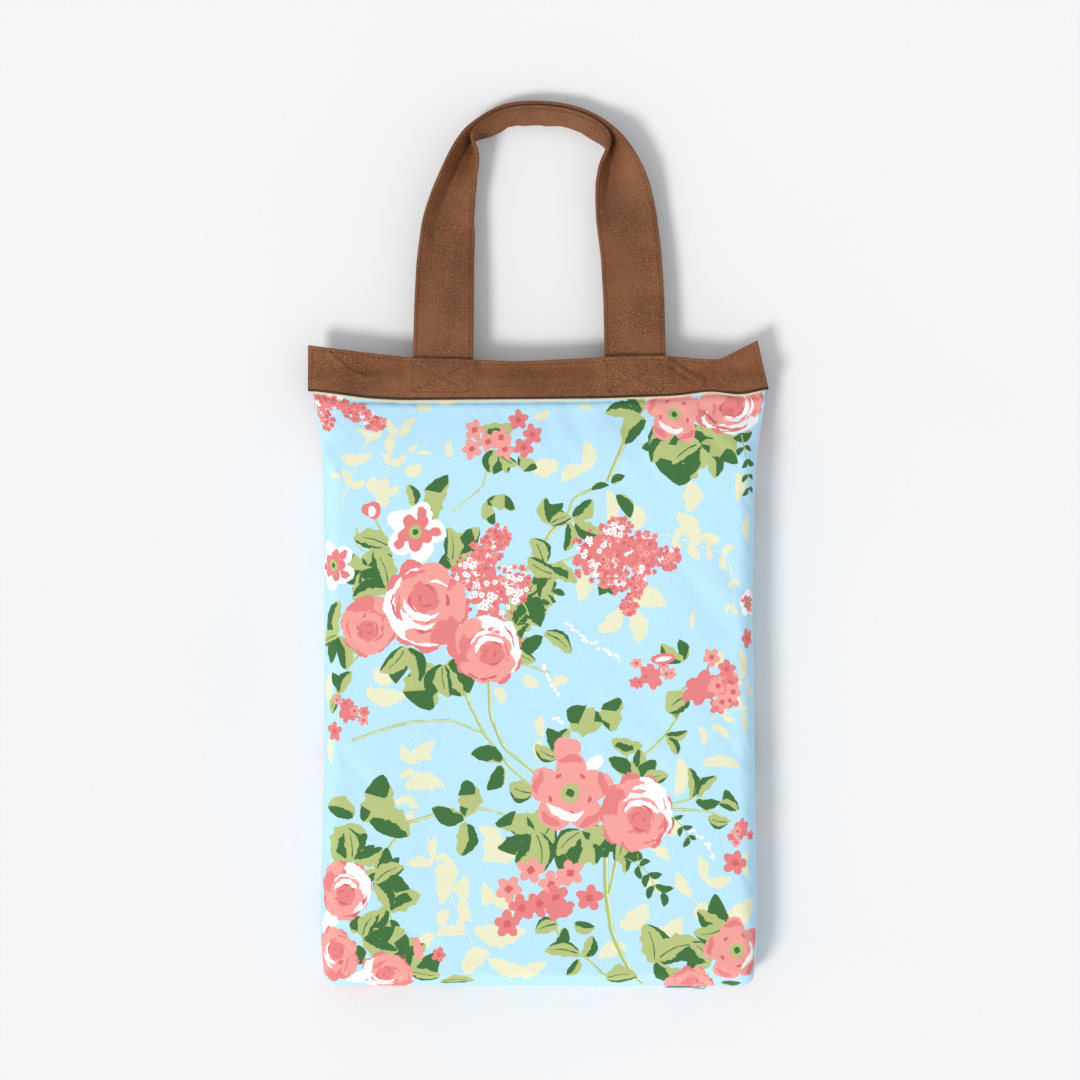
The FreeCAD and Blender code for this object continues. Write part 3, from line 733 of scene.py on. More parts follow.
class Print:
    """Collects flat shapes in painter's order. Each is a closed outline and a colour."""

    def __init__(self, seed):
        self.random = np.random.default_rng(seed)
        self.shapes = []

    def add(self, outline, colour, rough=0.3):
        """Adds a shape with an edge as uneven as a screen print's."""
        outline = np.asarray(outline, float)
        if rough > 0:
            shake = self.random.normal(0.0, rough, (len(outline), 2))
            outline = outline + (shake + np.roll(shake, 1, axis=0)) * 0.5
        self.shapes.append((outline, colour))

    def blob(self, x, y, rx, ry, angle=0.0, lobes=0, depth=0.0, colour=CORAL, rough=0.3, step=1.1):
        """A closed round shape, with petal-like lobes if asked."""
        count = max(7, int(2 * math.pi * max(rx, ry) / step))
        a = np.linspace(0, 2 * np.pi, count, endpoint=False)
        phase = self.random.uniform(0, 2 * np.pi, 3)
        r = 1.0 + 0.05 * np.sin(2 * a + phase[0]) + 0.04 * np.sin(3 * a + phase[1])
        if lobes:
            r = r + depth * (np.abs(np.sin(lobes * a / 2 + phase[2])) - 0.6)
        px, py = rx * r * np.cos(a), ry * r * np.sin(a)
        self.add(turned(x, y, angle, px, py), colour, rough)

    def crescent(self, x, y, radius, start, end, thick, colour, rough=0.3, lean=0.0):
        """A curved streak round (x, y) from one angle to another, pointed at both ends."""
        span = abs(math.radians(end - start)) * radius
        count = max(5, int(span / 1.3))
        t = np.linspace(0, 1, count)
        a = np.radians(start + (end - start) * t)
        body = np.sin(math.pi * t) ** 0.7
        wave = 0.12 * thick * np.sin(t * 9 + self.random.uniform(0, 6))
        outer = radius + lean * t + body * thick * 0.5 + wave
        inner = radius + lean * t - body * thick * 0.5 + wave
        out = np.stack([x + outer * np.cos(a), y + outer * np.sin(a)], 1)
        back = np.stack([x + inner * np.cos(a), y + inner * np.sin(a)], 1)[::-1]
        self.add(np.concatenate([out, back[1:-1]]), colour, rough)

    def ribbon(self, points, width, colour, tip=0.5):
        """A stem of that width along a smoothed path."""
        line = even_path(points, 1.5, 3.0)
        along = np.gradient(line, axis=0)
        across = np.stack([-along[:, 1], along[:, 0]], 1)
        across /= np.maximum(np.linalg.norm(across, axis=1, keepdims=True), 1e-6)
        half = width / 2 * np.linspace(1.0, tip, len(line))[:, None]
        self.add(np.concatenate([line + across * half, (line - across * half)[::-1]]), colour, 0.15)

    def leaf(self, x, y, angle, length, share, kind, base=LEAF, mark=DARK):
        """A leaf from its stalk at (x, y). kind picks where the dark printing lies on it."""
        half = length * share / 2
        bend = 0.12 * (1 if self.random.random() < 0.5 else -1)

        def place(t, w):
            """t runs from stalk to tip, w from one edge at -1 to the other at 1."""
            t, w = np.asarray(t, float), np.asarray(w, float)
            px = t * length
            py = w * half * np.sin(math.pi * np.clip(t, 0, 1) ** 0.9) ** 0.66
            py = py + bend * length * np.sin(math.pi * t)
            return turned(x, y, angle, px, py)

        count = max(6, int(length / 1.5))
        t = np.linspace(0.0, 1.0, count)
        teeth = 1.0 + 0.09 * np.sign(np.sin(t * length * 0.75))
        out, back = place(t, teeth), place(t[::-1], -teeth[::-1])
        self.add(np.concatenate([out, back[1:-1]]), base, 0.22)
        if mark is None:
            return
        side = 1 if self.random.random() < 0.5 else -1
        for first, last, inner, outer in LEAF_MARKS[kind]:
            tt = np.linspace(first, last, max(4, int(length * (last - first) / 1.2)))
            inside = (inner(tt) if callable(inner) else inner) + self.random.uniform(-0.08, 0.08, len(tt))
            edge = np.concatenate([place(tt, side * outer), place(tt[::-1], side * inside[::-1])[1:-1]])
            self.add(edge, mark, 0.35 * min(1.0, length / 20))
        if kind == VEINED:
            self.ribbon([place(0.1, 0.0), place(0.45, 0.05), place(0.8, 0.0)], 0.9, mark)

    def spray_leaves(self, x, y, length, angles, kinds):
        """Leaves that fan out from one point."""
        for k, angle in enumerate(angles):
            reach = length * self.random.uniform(0.85, 1.15)
            self.leaf(x, y, angle, reach, 0.5, kinds[k % len(kinds)])

    def rose(self, x, y, r, angle, white=0.0):
        """A full rose: layers of torn-edged petals round an off-centre heart.

        It is lit on one side where white is above 0."""
        turn = math.radians(angle)
        cx, cy = x + 0.2 * r * math.cos(turn), y + 0.2 * r * math.sin(turn)
        self.blob(x, y, r, r * 0.93, angle, 9, 0.16, CORAL, 0.5)
        for off, size, colour in ROSE_PETALS:
            if colour is WHITE and white < 0.3:
                colour = SALMON
            a = math.radians(angle + off + self.random.uniform(-9, 9))
            reach = r * self.random.uniform(0.66, 0.78)
            self.blob(x + reach * math.cos(a), y + reach * math.sin(a), size * r, 0.24 * r,
                      math.degrees(a) + 86, 3, 0.16, colour, 0.5)
        self.blob(cx, cy, 0.66 * r, 0.6 * r, angle + 30, 5, 0.18, SALMON, 0.5)
        self.rose_streaks(x, y, r, angle, white)
        self.rose_heart(cx, cy, r, angle, white)

    def rose_streaks(self, x, y, r, angle, white):
        """The curved streaks that part a rose's petals, lighter on its lit side."""
        for _ in range(15):
            start = self.random.uniform(0, 360)
            radius = r * self.random.uniform(0.34, 0.93)
            lit = math.cos(math.radians(start + 20 - angle - 70)) * 0.5 + 0.5
            draw = self.random.random()
            if draw < 0.25 + 0.4 * white * lit:
                colour = WHITE if lit * white > 0.25 else SALMON
                thick = r * self.random.uniform(0.07, 0.15)
            elif draw < 0.72:
                colour = CORAL
                thick = r * self.random.uniform(0.06, 0.12)
            else:
                colour = ROSE
                thick = r * self.random.uniform(0.04, 0.08)
            end = start + self.random.uniform(24, 62)
            lean = r * self.random.uniform(-0.16, 0.08)
            self.crescent(x, y, radius, start, end, thick, colour, 0.5, lean)

    def rose_heart(self, cx, cy, r, angle, white):
        """The rolled petals in the middle of a rose."""
        self.blob(cx, cy, 0.36 * r, 0.31 * r, angle, 5, 0.2, CORAL, 0.45)
        if white:
            self.crescent(cx, cy, 0.46 * r, angle + 80, angle + 215, 0.17 * r, WHITE, 0.5)
            self.crescent(cx, cy, 0.66 * r, angle + 120, angle + 195, 0.12 * r, WHITE, 0.5)
        for k, (near, far) in enumerate(((0.08, 120), (0.17, 105), (0.25, 80), (0.33, 95))):
            start = angle + 140 * k + self.random.uniform(-20, 20)
            self.crescent(cx, cy, r * near, start, start + far, r * 0.055, ROSE, 0.3, lean=0.05 * r)

    def blossom(self, x, y, r, angle, white=False):
        """An open flower of five petals with a green eye."""
        petals = 5
        for k in range(petals):
            a = math.radians(angle + 360.0 * k / petals)
            px, py = x + 0.6 * r * math.cos(a), y + 0.6 * r * math.sin(a)
            self.blob(px, py, 0.44 * r, 0.4 * r, math.degrees(a), 3, 0.1, WHITE if white else SALMON, 0.35)
        self.blob(x, y, 0.55 * r, 0.52 * r, angle, 5, 0.5, CORAL if white else SALMON, 0.35)
        for k in range(petals):
            a = angle + 360.0 * k / petals
            ar = math.radians(a)
            if white:
                if k % 2 == 0:
                    self.blob(x + 0.66 * r * math.cos(ar), y + 0.66 * r * math.sin(ar),
                              0.22 * r, 0.15 * r, a, 3, 0.2, CORAL, 0.3)
            else:
                self.crescent(x, y, 0.84 * r, a - 22, a + 20, 0.2 * r, CORAL, 0.35)
                self.crescent(x, y, 0.5 * r, a + 24, a + 46, 0.1 * r, ROSE, 0.2)
        if not white:
            self.crescent(x, y, 0.58 * r, angle + 185, angle + 290, 0.22 * r, WHITE, 0.4)
        self.blob(x, y, 0.23 * r, 0.23 * r, 0, 0, 0, LEAF, 0.2, 0.9)
        self.blob(x, y, 0.1 * r, 0.1 * r, 0, 4, 0.2, DARK, 0.15, 0.7)

    def floret(self, x, y, r, colour=CORAL, eye=ROSE):
        """One small flower, with an eye unless that is None."""
        self.blob(x, y, r, r, self.random.uniform(0, 90), 5, 0.5, colour, 0.18, 0.9)
        if eye is not None:
            self.blob(x, y, 0.33 * r, 0.33 * r, 0, 4, 0.3, eye, 0.1, 0.6)

    def umbel(self, x, y, r, angle, count):
        """A head of five-petalled florets on short stalks."""
        spots = []
        for k in range(count):
            a = math.radians(angle + self.random.uniform(-115, 115))
            d = r * math.sqrt(self.random.uniform(0.05, 1.0))
            spots.append((x + d * math.cos(a), y + d * math.sin(a)))
        for sx, sy in spots[:5]:
            self.ribbon([(x, y), (sx, sy)], 1.1, ROSE, 0.9)
        self.blob(x, y, 0.55 * r, 0.42 * r, angle, 6, 0.35, CORAL, 0.35)
        for k, (sx, sy) in enumerate(spots):
            self.floret(sx, sy, r * 0.24, (SALMON, CORAL)[k % 2])

    def lilac(self, x, y, angle, length, width, pale, count):
        """A pointed head packed with tiny florets. pale is how many of them are white."""
        c, s = math.cos(math.radians(angle)), math.sin(math.radians(angle))

        def spot(t, w):
            return x + c * t * length - s * w, y + s * t * length + c * w

        for t, w, size in LILAC_LOBES:
            px, py = spot(t, w * width / 2)
            self.blob(px, py, size * width * 0.33, size * width * 0.27, angle + 70 * w, 7, 0.42, CORAL, 0.8)
        for k in range(count * 2):
            t, w, size = LILAC_LOBES[k % len(LILAC_LOBES)]
            turn, far = self.random.uniform(0, 2 * np.pi), self.random.random() ** 0.55
            grow = size * width * 0.5 * far
            on = t + grow * math.cos(turn) / length * 0.9
            px, py = spot(on, w * width / 2 + grow * math.sin(turn) * 0.85)
            draw = self.random.random()
            r = self.random.uniform(1.2, 2.3)
            lit = pale * (1.7 if far < 0.7 and t < 0.6 else 0.15)
            if draw < lit:
                self.floret(px, py, r * 1.1, WHITE, LEAF if draw < lit * 0.3 else SALMON)
            elif draw < 0.64:
                self.floret(px, py, r * 1.15, CORAL, ROSE)
            elif draw < 0.84:
                self.floret(px, py, r, SALMON, ROSE)
            else:
                self.floret(px, py, r * 0.75, ROSE, None)

    def fern(self, points, length, pairs):
        """A thin curved stalk with small paired leaves."""
        self.ribbon(points, 0.9, STEM)
        places = pairs_along(points, range(1, pairs + 1), pairs + 0.2)
        for k, (x, y, heading) in enumerate(places):
            for side in (52, -52):
                reach = length * self.random.uniform(0.8, 1.1)
                self.leaf(x, y, heading + side, reach, 0.48, 3, DARK if k % 2 else LEAF)

    def white_sprig(self, points, size=2.2):
        """A thin stalk with tiny white buds."""
        line = even_path(points, 1.5, 3.0)
        self.ribbon(points, 0.8, CREAM)
        for k in range(0, len(line), 2):
            off = self.random.uniform(-1.6, 1.6, 2)
            rx = size * self.random.uniform(0.4, 1.0)
            ry = size * self.random.uniform(0.35, 0.7)
            angle = self.random.uniform(0, 180)
            self.blob(line[k, 0] + off[0], line[k, 1] + off[1], rx, ry, angle, 3, 0.3, WHITE, 0.2, 1.0)

    def ghost(self, points, length, pairs):
        """A pale twig in the background."""
        self.ribbon(points, 0.9, CREAM)
        for x, y, heading in pairs_along(points, np.arange(pairs) + 0.7, pairs):
            for side in (48, -48):
                angle = heading + side + self.random.uniform(-12, 12)
                self.leaf(x, y, angle, length * self.random.uniform(0.7, 1.15), 0.48, 0, CREAM, None)


# Leaves: stalk x, y, angle, length, width share, kind.
LEAVES = (
    (-73, 17, 71, 33, 0.45, 1), (-86, 27, 105, 15, 0.6, 0), (-102, -2, 165, 27, 0.5, 2),
    (-101, -5, 213, 28, 0.5, 0), (-112, -28, 165, 20, 0.5, 3), (-139, -38, 262, 32, 0.42, 0),
    (-120, -72, 175, 20, 0.6, 1), (-85, -78, 212, 19, 0.6, 3), (-78, -80, 275, 34, 0.75, 1),
    (-62, -79, 302, 27, 0.6, 3), (-61, 0, 30, 24, 0.5, 2), (-36, 30, 345, 21, 0.5, 1),
    (-35, 31, 285, 18, 0.5, 1), (4, -14, 115, 21, 0.6, 2), (3, -16, 338, 26, 0.45, 4),
    (4, -60, 322, 24, 0.42, 2), (45, -122, 161, 27, 0.75, 1), (50, -128, 76, 24, 0.62, 1),
    (50, -134, 350, 22, 0.5, 4), (64, -161, 137, 22, 0.45, 3), (65, -160, 77, 21, 0.5, 0),
    (105, -174, 96, 22, 0.36, 0), (108, -173, 45, 20, 0.42, 0), (107, -175, 356, 18, 0.4, 3),
    (-24, -148, 168, 23, 0.5, 3), (-25, -151, 240, 20, 0.5, 3), (-3, -170, 160, 18, 0.8, 2),
    (12, -186, 192, 34, 0.6, 2), (10, -190, 222, 34, 0.7, 2), (24, -194, 258, 33, 0.75, 1),
    (38, -192, 292, 24, 0.7, 3), (50, -203, 176, 15, 0.55, 3), (55, -204, 325, 20, 0.6, 3),
    (54, -206, 285, 20, 0.4, 0), (130, -190, 165, 15, 0.6, 2), (96, -119, 140, 12, 0.4, 2),
    (87, -131, 12, 16, 0.42, 0), (88, -132, 300, 14, 0.5, 0), (103, -103, 218, 19, 0.8, 2),
    (73, 90, 178, 26, 0.45, 0), (74, 91, 128, 19, 0.6, 0), (75, 88, 230, 25, 0.55, 0),
    (104, 84, 290, 26, 0.8, 3), (108, 80, 322, 34, 0.62, 0), (104, 76, 258, 36, 0.95, 1),
    (96, 80, 216, 23, 0.6, 2), (24, 18, 45, 19, 0.6, 0), (22, 16, 262, 21, 0.42, 0),
    (25, 17, 335, 24, 0.5, 0), (20, 18, 140, 16, 0.5, 3), (54, 35, 300, 19, 0.45, 3),
    (50, 42, 32, 11, 0.5, 3), (36, 38, 14, 13, 0.35, 3), (-120, -190, 68, 35, 0.6, 1),
    (-116, -186, 335, 31, 0.65, 0), (-122, -192, 242, 34, 0.75, 4), (-126, -185, 165, 24, 0.6, 0),
    (-127, -214, 30, 17, 0.5, 3), (-50, -187, 163, 24, 0.5, 3), (-50, -186, 88, 25, 0.65, 1),
    (-50, -190, 262, 24, 0.6, 0), (-103, -248, 226, 21, 0.55, 0), (-103, -250, 25, 25, 0.7, 4),
    (-101, -257, 300, 25, 0.6, 1), (-129, -262, 0, 13, 0.9, 3), (-121, -288, 95, 14, 0.8, 3),
    (-68, -304, 5, 25, 0.36, 2), (-70, -300, 90, 14, 0.42, 3), (14, -260, 200, 17, 0.6, 2),
    (18, -262, 250, 16, 0.5, 3), (24, -260, 350, 15, 0.6, 0), (31, -283, 70, 16, 0.6, 0),
    (29, -281, 175, 25, 0.42, 2), (28, -284, 235, 15, 0.5, 0), (46, -300, 10, 22, 0.7, 2),
    (79, -287, 105, 28, 0.65, 2), (80, -285, 20, 34, 0.52, 2), (79, -286, 325, 27, 0.45, 3),
    (113, -297, 115, 20, 0.5, 0), (112, -297, 166, 26, 0.45, 2), (112, -299, 196, 17, 0.5, 3),
    (125, -304, 0, 15, 0.5, 3), (-14, 61, 330, 16, 0.6, 1), (-30, 66, 262, 17, 0.6, 0),
    (-40, 80, 5, 24, 0.5, 4), (146, 78, 200, 14, 0.5, 3), (-52, -3, 215, 21, 0.7, 1),
)
# Leaves of the pale background layer: x, y, angle, length, width share.
PALE_LEAVES = (
    (-97, 76, 48, 18, 0.4), (-122, 70, 22, 14, 0.5), (-102, 80, 272, 24, 0.34), (-90, 63, 40, 10, 0.6),
    (-84, 63, 354, 13, 0.35), (-120, 60, 178, 19, 0.62), (-92, 50, 20, 15, 0.8),
    (-136, 46, 170, 12, 0.5), (-124, 40, 140, 14, 0.5), (-116, 36, 70, 14, 0.6), (-106, 26, 88, 24, 0.6),
    (-88, 97, 350, 15, 0.5), (-70, 97, 5, 14, 0.5), (28, 96, 340, 12, 0.5), (32, 50, 88, 26, 0.5),
    (14, 56, 185, 24, 0.7), (16, 44, 30, 22, 0.6), (48, 38, 272, 30, 0.4), (66, 28, 275, 22, 0.6),
    (104, 44, 268, 25, 0.7), (136, 50, 272, 24, 0.42), (96, 22, 300, 30, 0.55), (124, 6, 200, 24, 0.3),
    (80, 6, 268, 24, 0.5), (30, -18, 268, 24, 0.6), (62, -36, 350, 32, 0.62), (58, -44, 222, 26, 0.6),
    (64, -44, 285, 28, 0.62), (107, -58, 82, 16, 0.3), (141, -92, 92, 24, 0.5), (120, -84, 62, 16, 0.5),
    (110, -124, 285, 16, 0.4), (118, -124, 325, 18, 0.4), (3, -132, 92, 18, 0.5), (2, -148, 94, 18, 0.5),
    (-10, -90, 330, 15, 0.7), (10, -96, 20, 14, 0.7), (94, -172, 84, 32, 0.42),
    (112, -150, 354, 32, 0.36), (98, -190, 200, 20, 0.6), (76, -206, 320, 20, 0.5),
    (112, -230, 100, 20, 0.5), (113, -230, 4, 22, 0.5), (104, -240, 120, 22, 0.5),
    (-38, -204, 350, 34, 0.7), (-26, -198, 162, 18, 0.6), (-84, -150, 130, 20, 0.5),
    (-82, -148, 50, 20, 0.5), (-92, -165, 0, 32, 0.52), (-112, -192, 60, 18, 0.6),
    (-88, -194, 85, 14, 0.7), (-71, -216, 88, 20, 0.4), (-73, -220, 175, 20, 0.5),
    (-62, -234, 82, 22, 0.95), (-68, -226, 275, 24, 0.5), (-50, -244, 88, 20, 0.6),
    (-52, -242, 290, 18, 0.6), (-66, -262, 70, 16, 0.7), (-70, -267, 2, 24, 0.42),
    (-36, -248, 95, 20, 0.55), (-34, -242, 330, 24, 0.5), (-44, -264, 0, 42, 0.5),
    (-72, -266, 240, 20, 0.6), (-34, -278, 225, 28, 0.62), (-34, -284, 345, 40, 0.4),
    (128, -256, 30, 30, 0.7), (56, -262, 40, 28, 0.7), (78, -272, 40, 30, 0.62),
    (60, -276, 200, 24, 0.6), (-10, -300, 40, 24, 0.5), (-106, -97, 92, 18, 1.0),
    (-120, -100, 355, 34, 0.5), (-30, -98, 300, 14, 0.7), (84, -238, 150, 20, 0.5),
    (142, -130, 92, 20, 0.4), (144, -210, 270, 22, 0.4), (126, -100, 20, 20, 0.5),
    (-60, 60, 100, 14, 0.5), (8, 92, 200, 14, 0.6), (-148, -88, 272, 26, 0.5), (-146, -150, 88, 24, 0.4),
    (148, 22, 268, 24, 0.4), (-20, -210, 200, 22, 0.7),
)
# Stems: width, then the points they run through.
STEMS = (
    (3.0, (60, 71), (54, 60), (47, 43)), (2.2, (47, 43), (36, 38), (24, 32), (20, 20)),
    (2.8, (24, 18), (10, 11), (-4, -13), (-14, -22)), (2.2, (2, -20), (14, -12), (27, -8)),
    (2.6, (-34, -94), (-33, -117), (-24, -139), (-1, -157)),
    (2.4, (-53, -92), (-48, -108), (-37, -130), (-20, -152), (-4, -166)),
    (2.0, (-129, -134), (-109, -127), (-88, -121), (-60, -120), (-38, -129)),
    (2.6, (-103, -192), (-84, -189), (-69, -184), (-50, -187)),
    (2.2, (-50, -186), (-40, -180), (-22, -185)),
    (2.6, (-88, -191), (-101, -205), (-107, -216), (-108, -224)),
    (1.8, (-108, -224), (-106, -238), (-102, -250), (-98, -262)),
    (2.2, (70, -147), (88, -130), (98, -114)), (1.8, (90, -178), (97, -176), (106, -173)),
    (2.0, (90, -181), (116, -182), (132, -190)),
    (4.0, (46, -204), (46, -238), (50, -266), (58, -284), (72, -306)),
    (3.0, (56, -204), (52, -222), (48, -240)), (2.0, (12, -262), (19, -277), (35, -284), (48, -298)),
    (1.4, (-35, 52), (-38, 40), (-60, 22)), (1.6, (-121, -72), (-132, -84), (-136, -98)),
    (2.2, (56, -134), (62, -148), (65, -162)), (1.6, (-113, 18), (-108, 10), (-103, 2)),
    (1.4, (-125, 12), (-127, 0), (-118, -6)), (1.8, (8, -88), (-8, -82), (-16, -80)),
    (2.0, (98, -100), (104, -96), (108, -90)),
)
# Leaves that fan out from behind the flower heads: x, y, length, angles.
CLUSTERS = (
    (-118, -14, 25, (200, 240, 285, 155)), (-104, -30, 26, (150, 195, 110)),
    (-60, -12, 24, (60, 20, 95)), (-140, -62, 22, (250, 285, 200)), (-92, -70, 28, (255, 290, 225)),
    (-66, -82, 26, (250, 305, 280)), (-18, -70, 20, (20, 60, 330)), (-10, -36, 22, (300, 350, 40)),
    (12, -20, 20, (200, 240, 150)), (-2, -196, 27, (205, 240, 275, 170)),
    (30, -196, 27, (255, 290, 225, 330)), (56, -196, 24, (300, 340, 262)), (70, -166, 20, (60, 110, 25)),
    (14, -146, 20, (110, 70, 150)), (-128, -216, 24, (60, 20, 100)), (-112, -232, 24, (350, 300, 30)),
    (-120, -270, 24, (20, 340, 60)), (-88, -292, 22, (30, 60, 350)), (112, 70, 26, (250, 290, 215, 330)),
    (90, 74, 22, (200, 235)), (128, -262, 22, (110, 150, 190)), (118, -286, 22, (170, 210, 140)),
    (100, -80, 18, (100, 140)), (-26, 62, 16, (250, 290, 330)), (136, -182, 16, (120, 160)),
    (-138, -102, 16, (120, 60, 240)), (8, 14, 18, (60, 100, 20)), (48, -18, 20, (250, 290)),
)


# Pale twigs: leaf length, pairs of leaves, then the points the twig runs through.
TWIGS = (
    (12, 3, (-110, 22), (-104, 48), (-98, 84)), (11, 3, (-136, 30), (-126, 52), (-118, 80)),
    (13, 4, (86, 8), (104, 2), (132, -8)), (8, 2, (132, -12), (136, -32), (134, -48)),
    (12, 4, (-76, -200), (-66, -224), (-50, -262), (-40, -284)),
    (11, 2, (98, -236), (112, -250), (134, -262)), (12, 3, (-84, -128), (-82, -150), (-92, -178)),
    (10, 3, (118, -120), (138, -112), (150, -96)),
)
# Loose florets near the band, and in the lower half.
TOP_FLORETS = ((-45, 79), (-46, 66), (-35, 71), (-23, 66), (-10, 67), (-14, 86), (-4, 76), (-26, 74))
LOW_FLORETS = (
    (-5, -223), (22, -225), (9, -233), (35, -242), (1, -246), (12, -242), (-20, -236), (-21, -260),
    (-11, -249),
)
# How large the pale leaves are printed, against the sizes in their table.
PALE_SIZE = 0.86


def add_leaves(p):
    """Pale leaves and twigs behind, then stems, leaves and ferns."""
    for x, y, angle, length, share in PALE_LEAVES:
        p.leaf(x, y, angle, length * PALE_SIZE, share * PALE_SIZE, 0, CREAM, None)
    for length, pairs, *points in TWIGS:
        p.ghost(points, length, pairs)
    for width, *points in STEMS:
        p.ribbon(points, width, STEM, 0.75)
        p.ribbon([(x + 0.25 * width, y) for x, y in points], width * 0.3, CREAM, 0.6)
    p.leaf(-20, -60, 42, 42, 0.62, 4)
    p.leaf(-98, -291, 55, 26, 0.7, 4)
    for leaf in LEAVES:
        p.leaf(*leaf)
    p.spray_leaves(-109, -224, 17, (112, 72, 35, 342, 280, 215), (0, 3, 3, 3, 3, 0))
    p.fern(((-20, -60), (-8, -46), (12, -30)), 10, 5)
    p.fern(((62, -216), (74, -223), (80, -236), (88, -240)), 10, 4)
    p.fern(((86, -182), (97, -191), (104, -203)), 8, 3)
    p.fern(((138, 76), (144, 56), (147, 36)), 8, 4)
    for x, y, length, angles in CLUSTERS:
        p.spray_leaves(x, y, length, angles, (3, 0, 2, 1, 0))


def add_upper_flowers(p):
    """The flower heads of the upper half."""
    p.lilac(-158, 103, -22, 50, 30, 0.3, 90)
    p.lilac(-35, -44, 84, 52, 50, 0.42, 120)
    p.lilac(27, -8, 1, 66, 46, 0.25, 130)
    p.lilac(60, 4, -84, 48, 34, 0.15, 70)
    for x, y in TOP_FLORETS:
        p.floret(x, y, 6.2, SALMON if x < -20 else CORAL)
    p.blossom(96, 90, 20, 12)
    p.rose(131, 97, 21, 200, 0.35)
    p.blob(-115, 24, 6.5, 6, 0, 3, 0.2, CORAL)
    p.blob(-115, 23, 2.8, 3.4, 0, 0, 0, WHITE)
    p.blossom(-144, -14, 17, 40, True)
    p.blossom(-85, 9, 20.5, 72, True)
    p.rose(-117, -55, 20.5, 250)
    p.rose(-78, -42, 30, 100, 0.85)
    p.rose(-36, -72, 24.5, 320, 0.3)
    p.umbel(78, -90, 15, 120, 7)
    p.umbel(112, -98, 23, 40, 13)
    p.blob(86, -78, 9, 3.6, 8, 3, 0.15, CORAL)
    p.blob(86, -78, 6, 1.5, 8, 0, 0, WHITE)
    p.umbel(-132, -114, 14, 80, 6)
    p.floret(-143, -128, 6)


def add_lower_flowers(p):
    """The flower heads of the lower half, two small ones at the right edge, and sprigs of white buds."""
    p.blob(20, -141, 9, 10, 70, 4, 0.2, SALMON)
    p.blob(38, -150, 8, 4, 30, 3, 0.2, WHITE)
    p.blossom(22, -170, 28, 18)
    p.rose(67, -184, 26, 300, 0.55)
    for x, y in LOW_FLORETS:
        p.floret(x, y, 8.0, SALMON if y > -240 else CORAL)
    p.blob(15, -250, 10, 6, 20, 5, 0.25, CORAL)
    p.rose(-134, -237, 20.5, 300, 0.4)
    p.blob(-146, -260, 9, 7, 20, 4, 0.3, WHITE)
    p.rose(-141, -282, 19, 60, 0.2)
    p.rose(-104, -299, 19, 100, 0.3)
    p.blob(-123, -298, 9, 5, 30, 4, 0.3, WHITE)
    p.blob(-82, -277, 3, 8, 10, 3, 0.2, SALMON)
    p.floret(-68, -281, 4.5)
    p.umbel(139, -195, 13, 250, 5)
    p.floret(134, -218, 7.5)
    p.blossom(135, -278, 22, 100)
    p.rose(104, -308, 18, 80)
    p.blossom(149, -40, 9, 20, True)
    p.floret(148, -64, 6)
    p.white_sprig(((20, -54), (35, -66), (60, -80)))
    p.white_sprig(((3, -82), (8, -92), (14, -104)))
    p.white_sprig(((105, -195), (113, -204), (121, -216)))
    p.white_sprig(((10, -118), (19, -124)), 1.6)


def floral(seed):
    """A trailing rose print, as outlines and colours in painter's order."""
    p = Print(seed)
    add_leaves(p)
    add_upper_flowers(p)
    add_lower_flowers(p)
    return p.shapes


def inside_outline(x, y, outline):
    """True where (x, y) is inside a closed outline."""
    ax, ay = outline[:, 0][None], outline[:, 1][None]
    bx, by = np.roll(outline, -1, axis=0).T[:, None, :]
    px, py = x[:, None], y[:, None]
    crosses = (ay > py) != (by > py)
    with np.errstate(divide="ignore", invalid="ignore"):
        at = ax + (py - ay) * (bx - ax) / (by - ay)
    return (crosses & (px < at)).sum(1) % 2 == 1


def painted(triangles, shapes, ground):
    """The colour of each triangle, found by painting the shapes over it in order."""
    colours = np.tile(np.array(ground), (len(triangles), 1))
    centre = triangles.mean(1)
    order = np.argsort(centre[:, 0])
    xs = centre[order, 0]
    for outline, colour in shapes:
        low, high = outline.min(0), outline.max(0)
        some = order[np.searchsorted(xs, low[0]):np.searchsorted(xs, high[0])]
        some = some[(centre[some, 1] > low[1]) & (centre[some, 1] < high[1])]
        if len(some):
            hit = inside_outline(centre[some, 0], centre[some, 1], outline)
            colours[some[hit]] = colour
    return colours


def panel_samples(low, high, flat_low, flat_high, flat_step, round_step):
    """Grid positions from low to high: wider apart on the flat, closer where the panel turns."""
    flat = np.linspace(flat_low, flat_high, int((flat_high - flat_low) / flat_step) + 1)
    left = np.linspace(low, flat_low, max(1, int((flat_low - low) / round_step)) + 1)[:-1]
    right = np.linspace(flat_high, high, max(0, int((high - flat_high) / round_step)) + 1)[1:]
    return np.concatenate([left, flat, right])


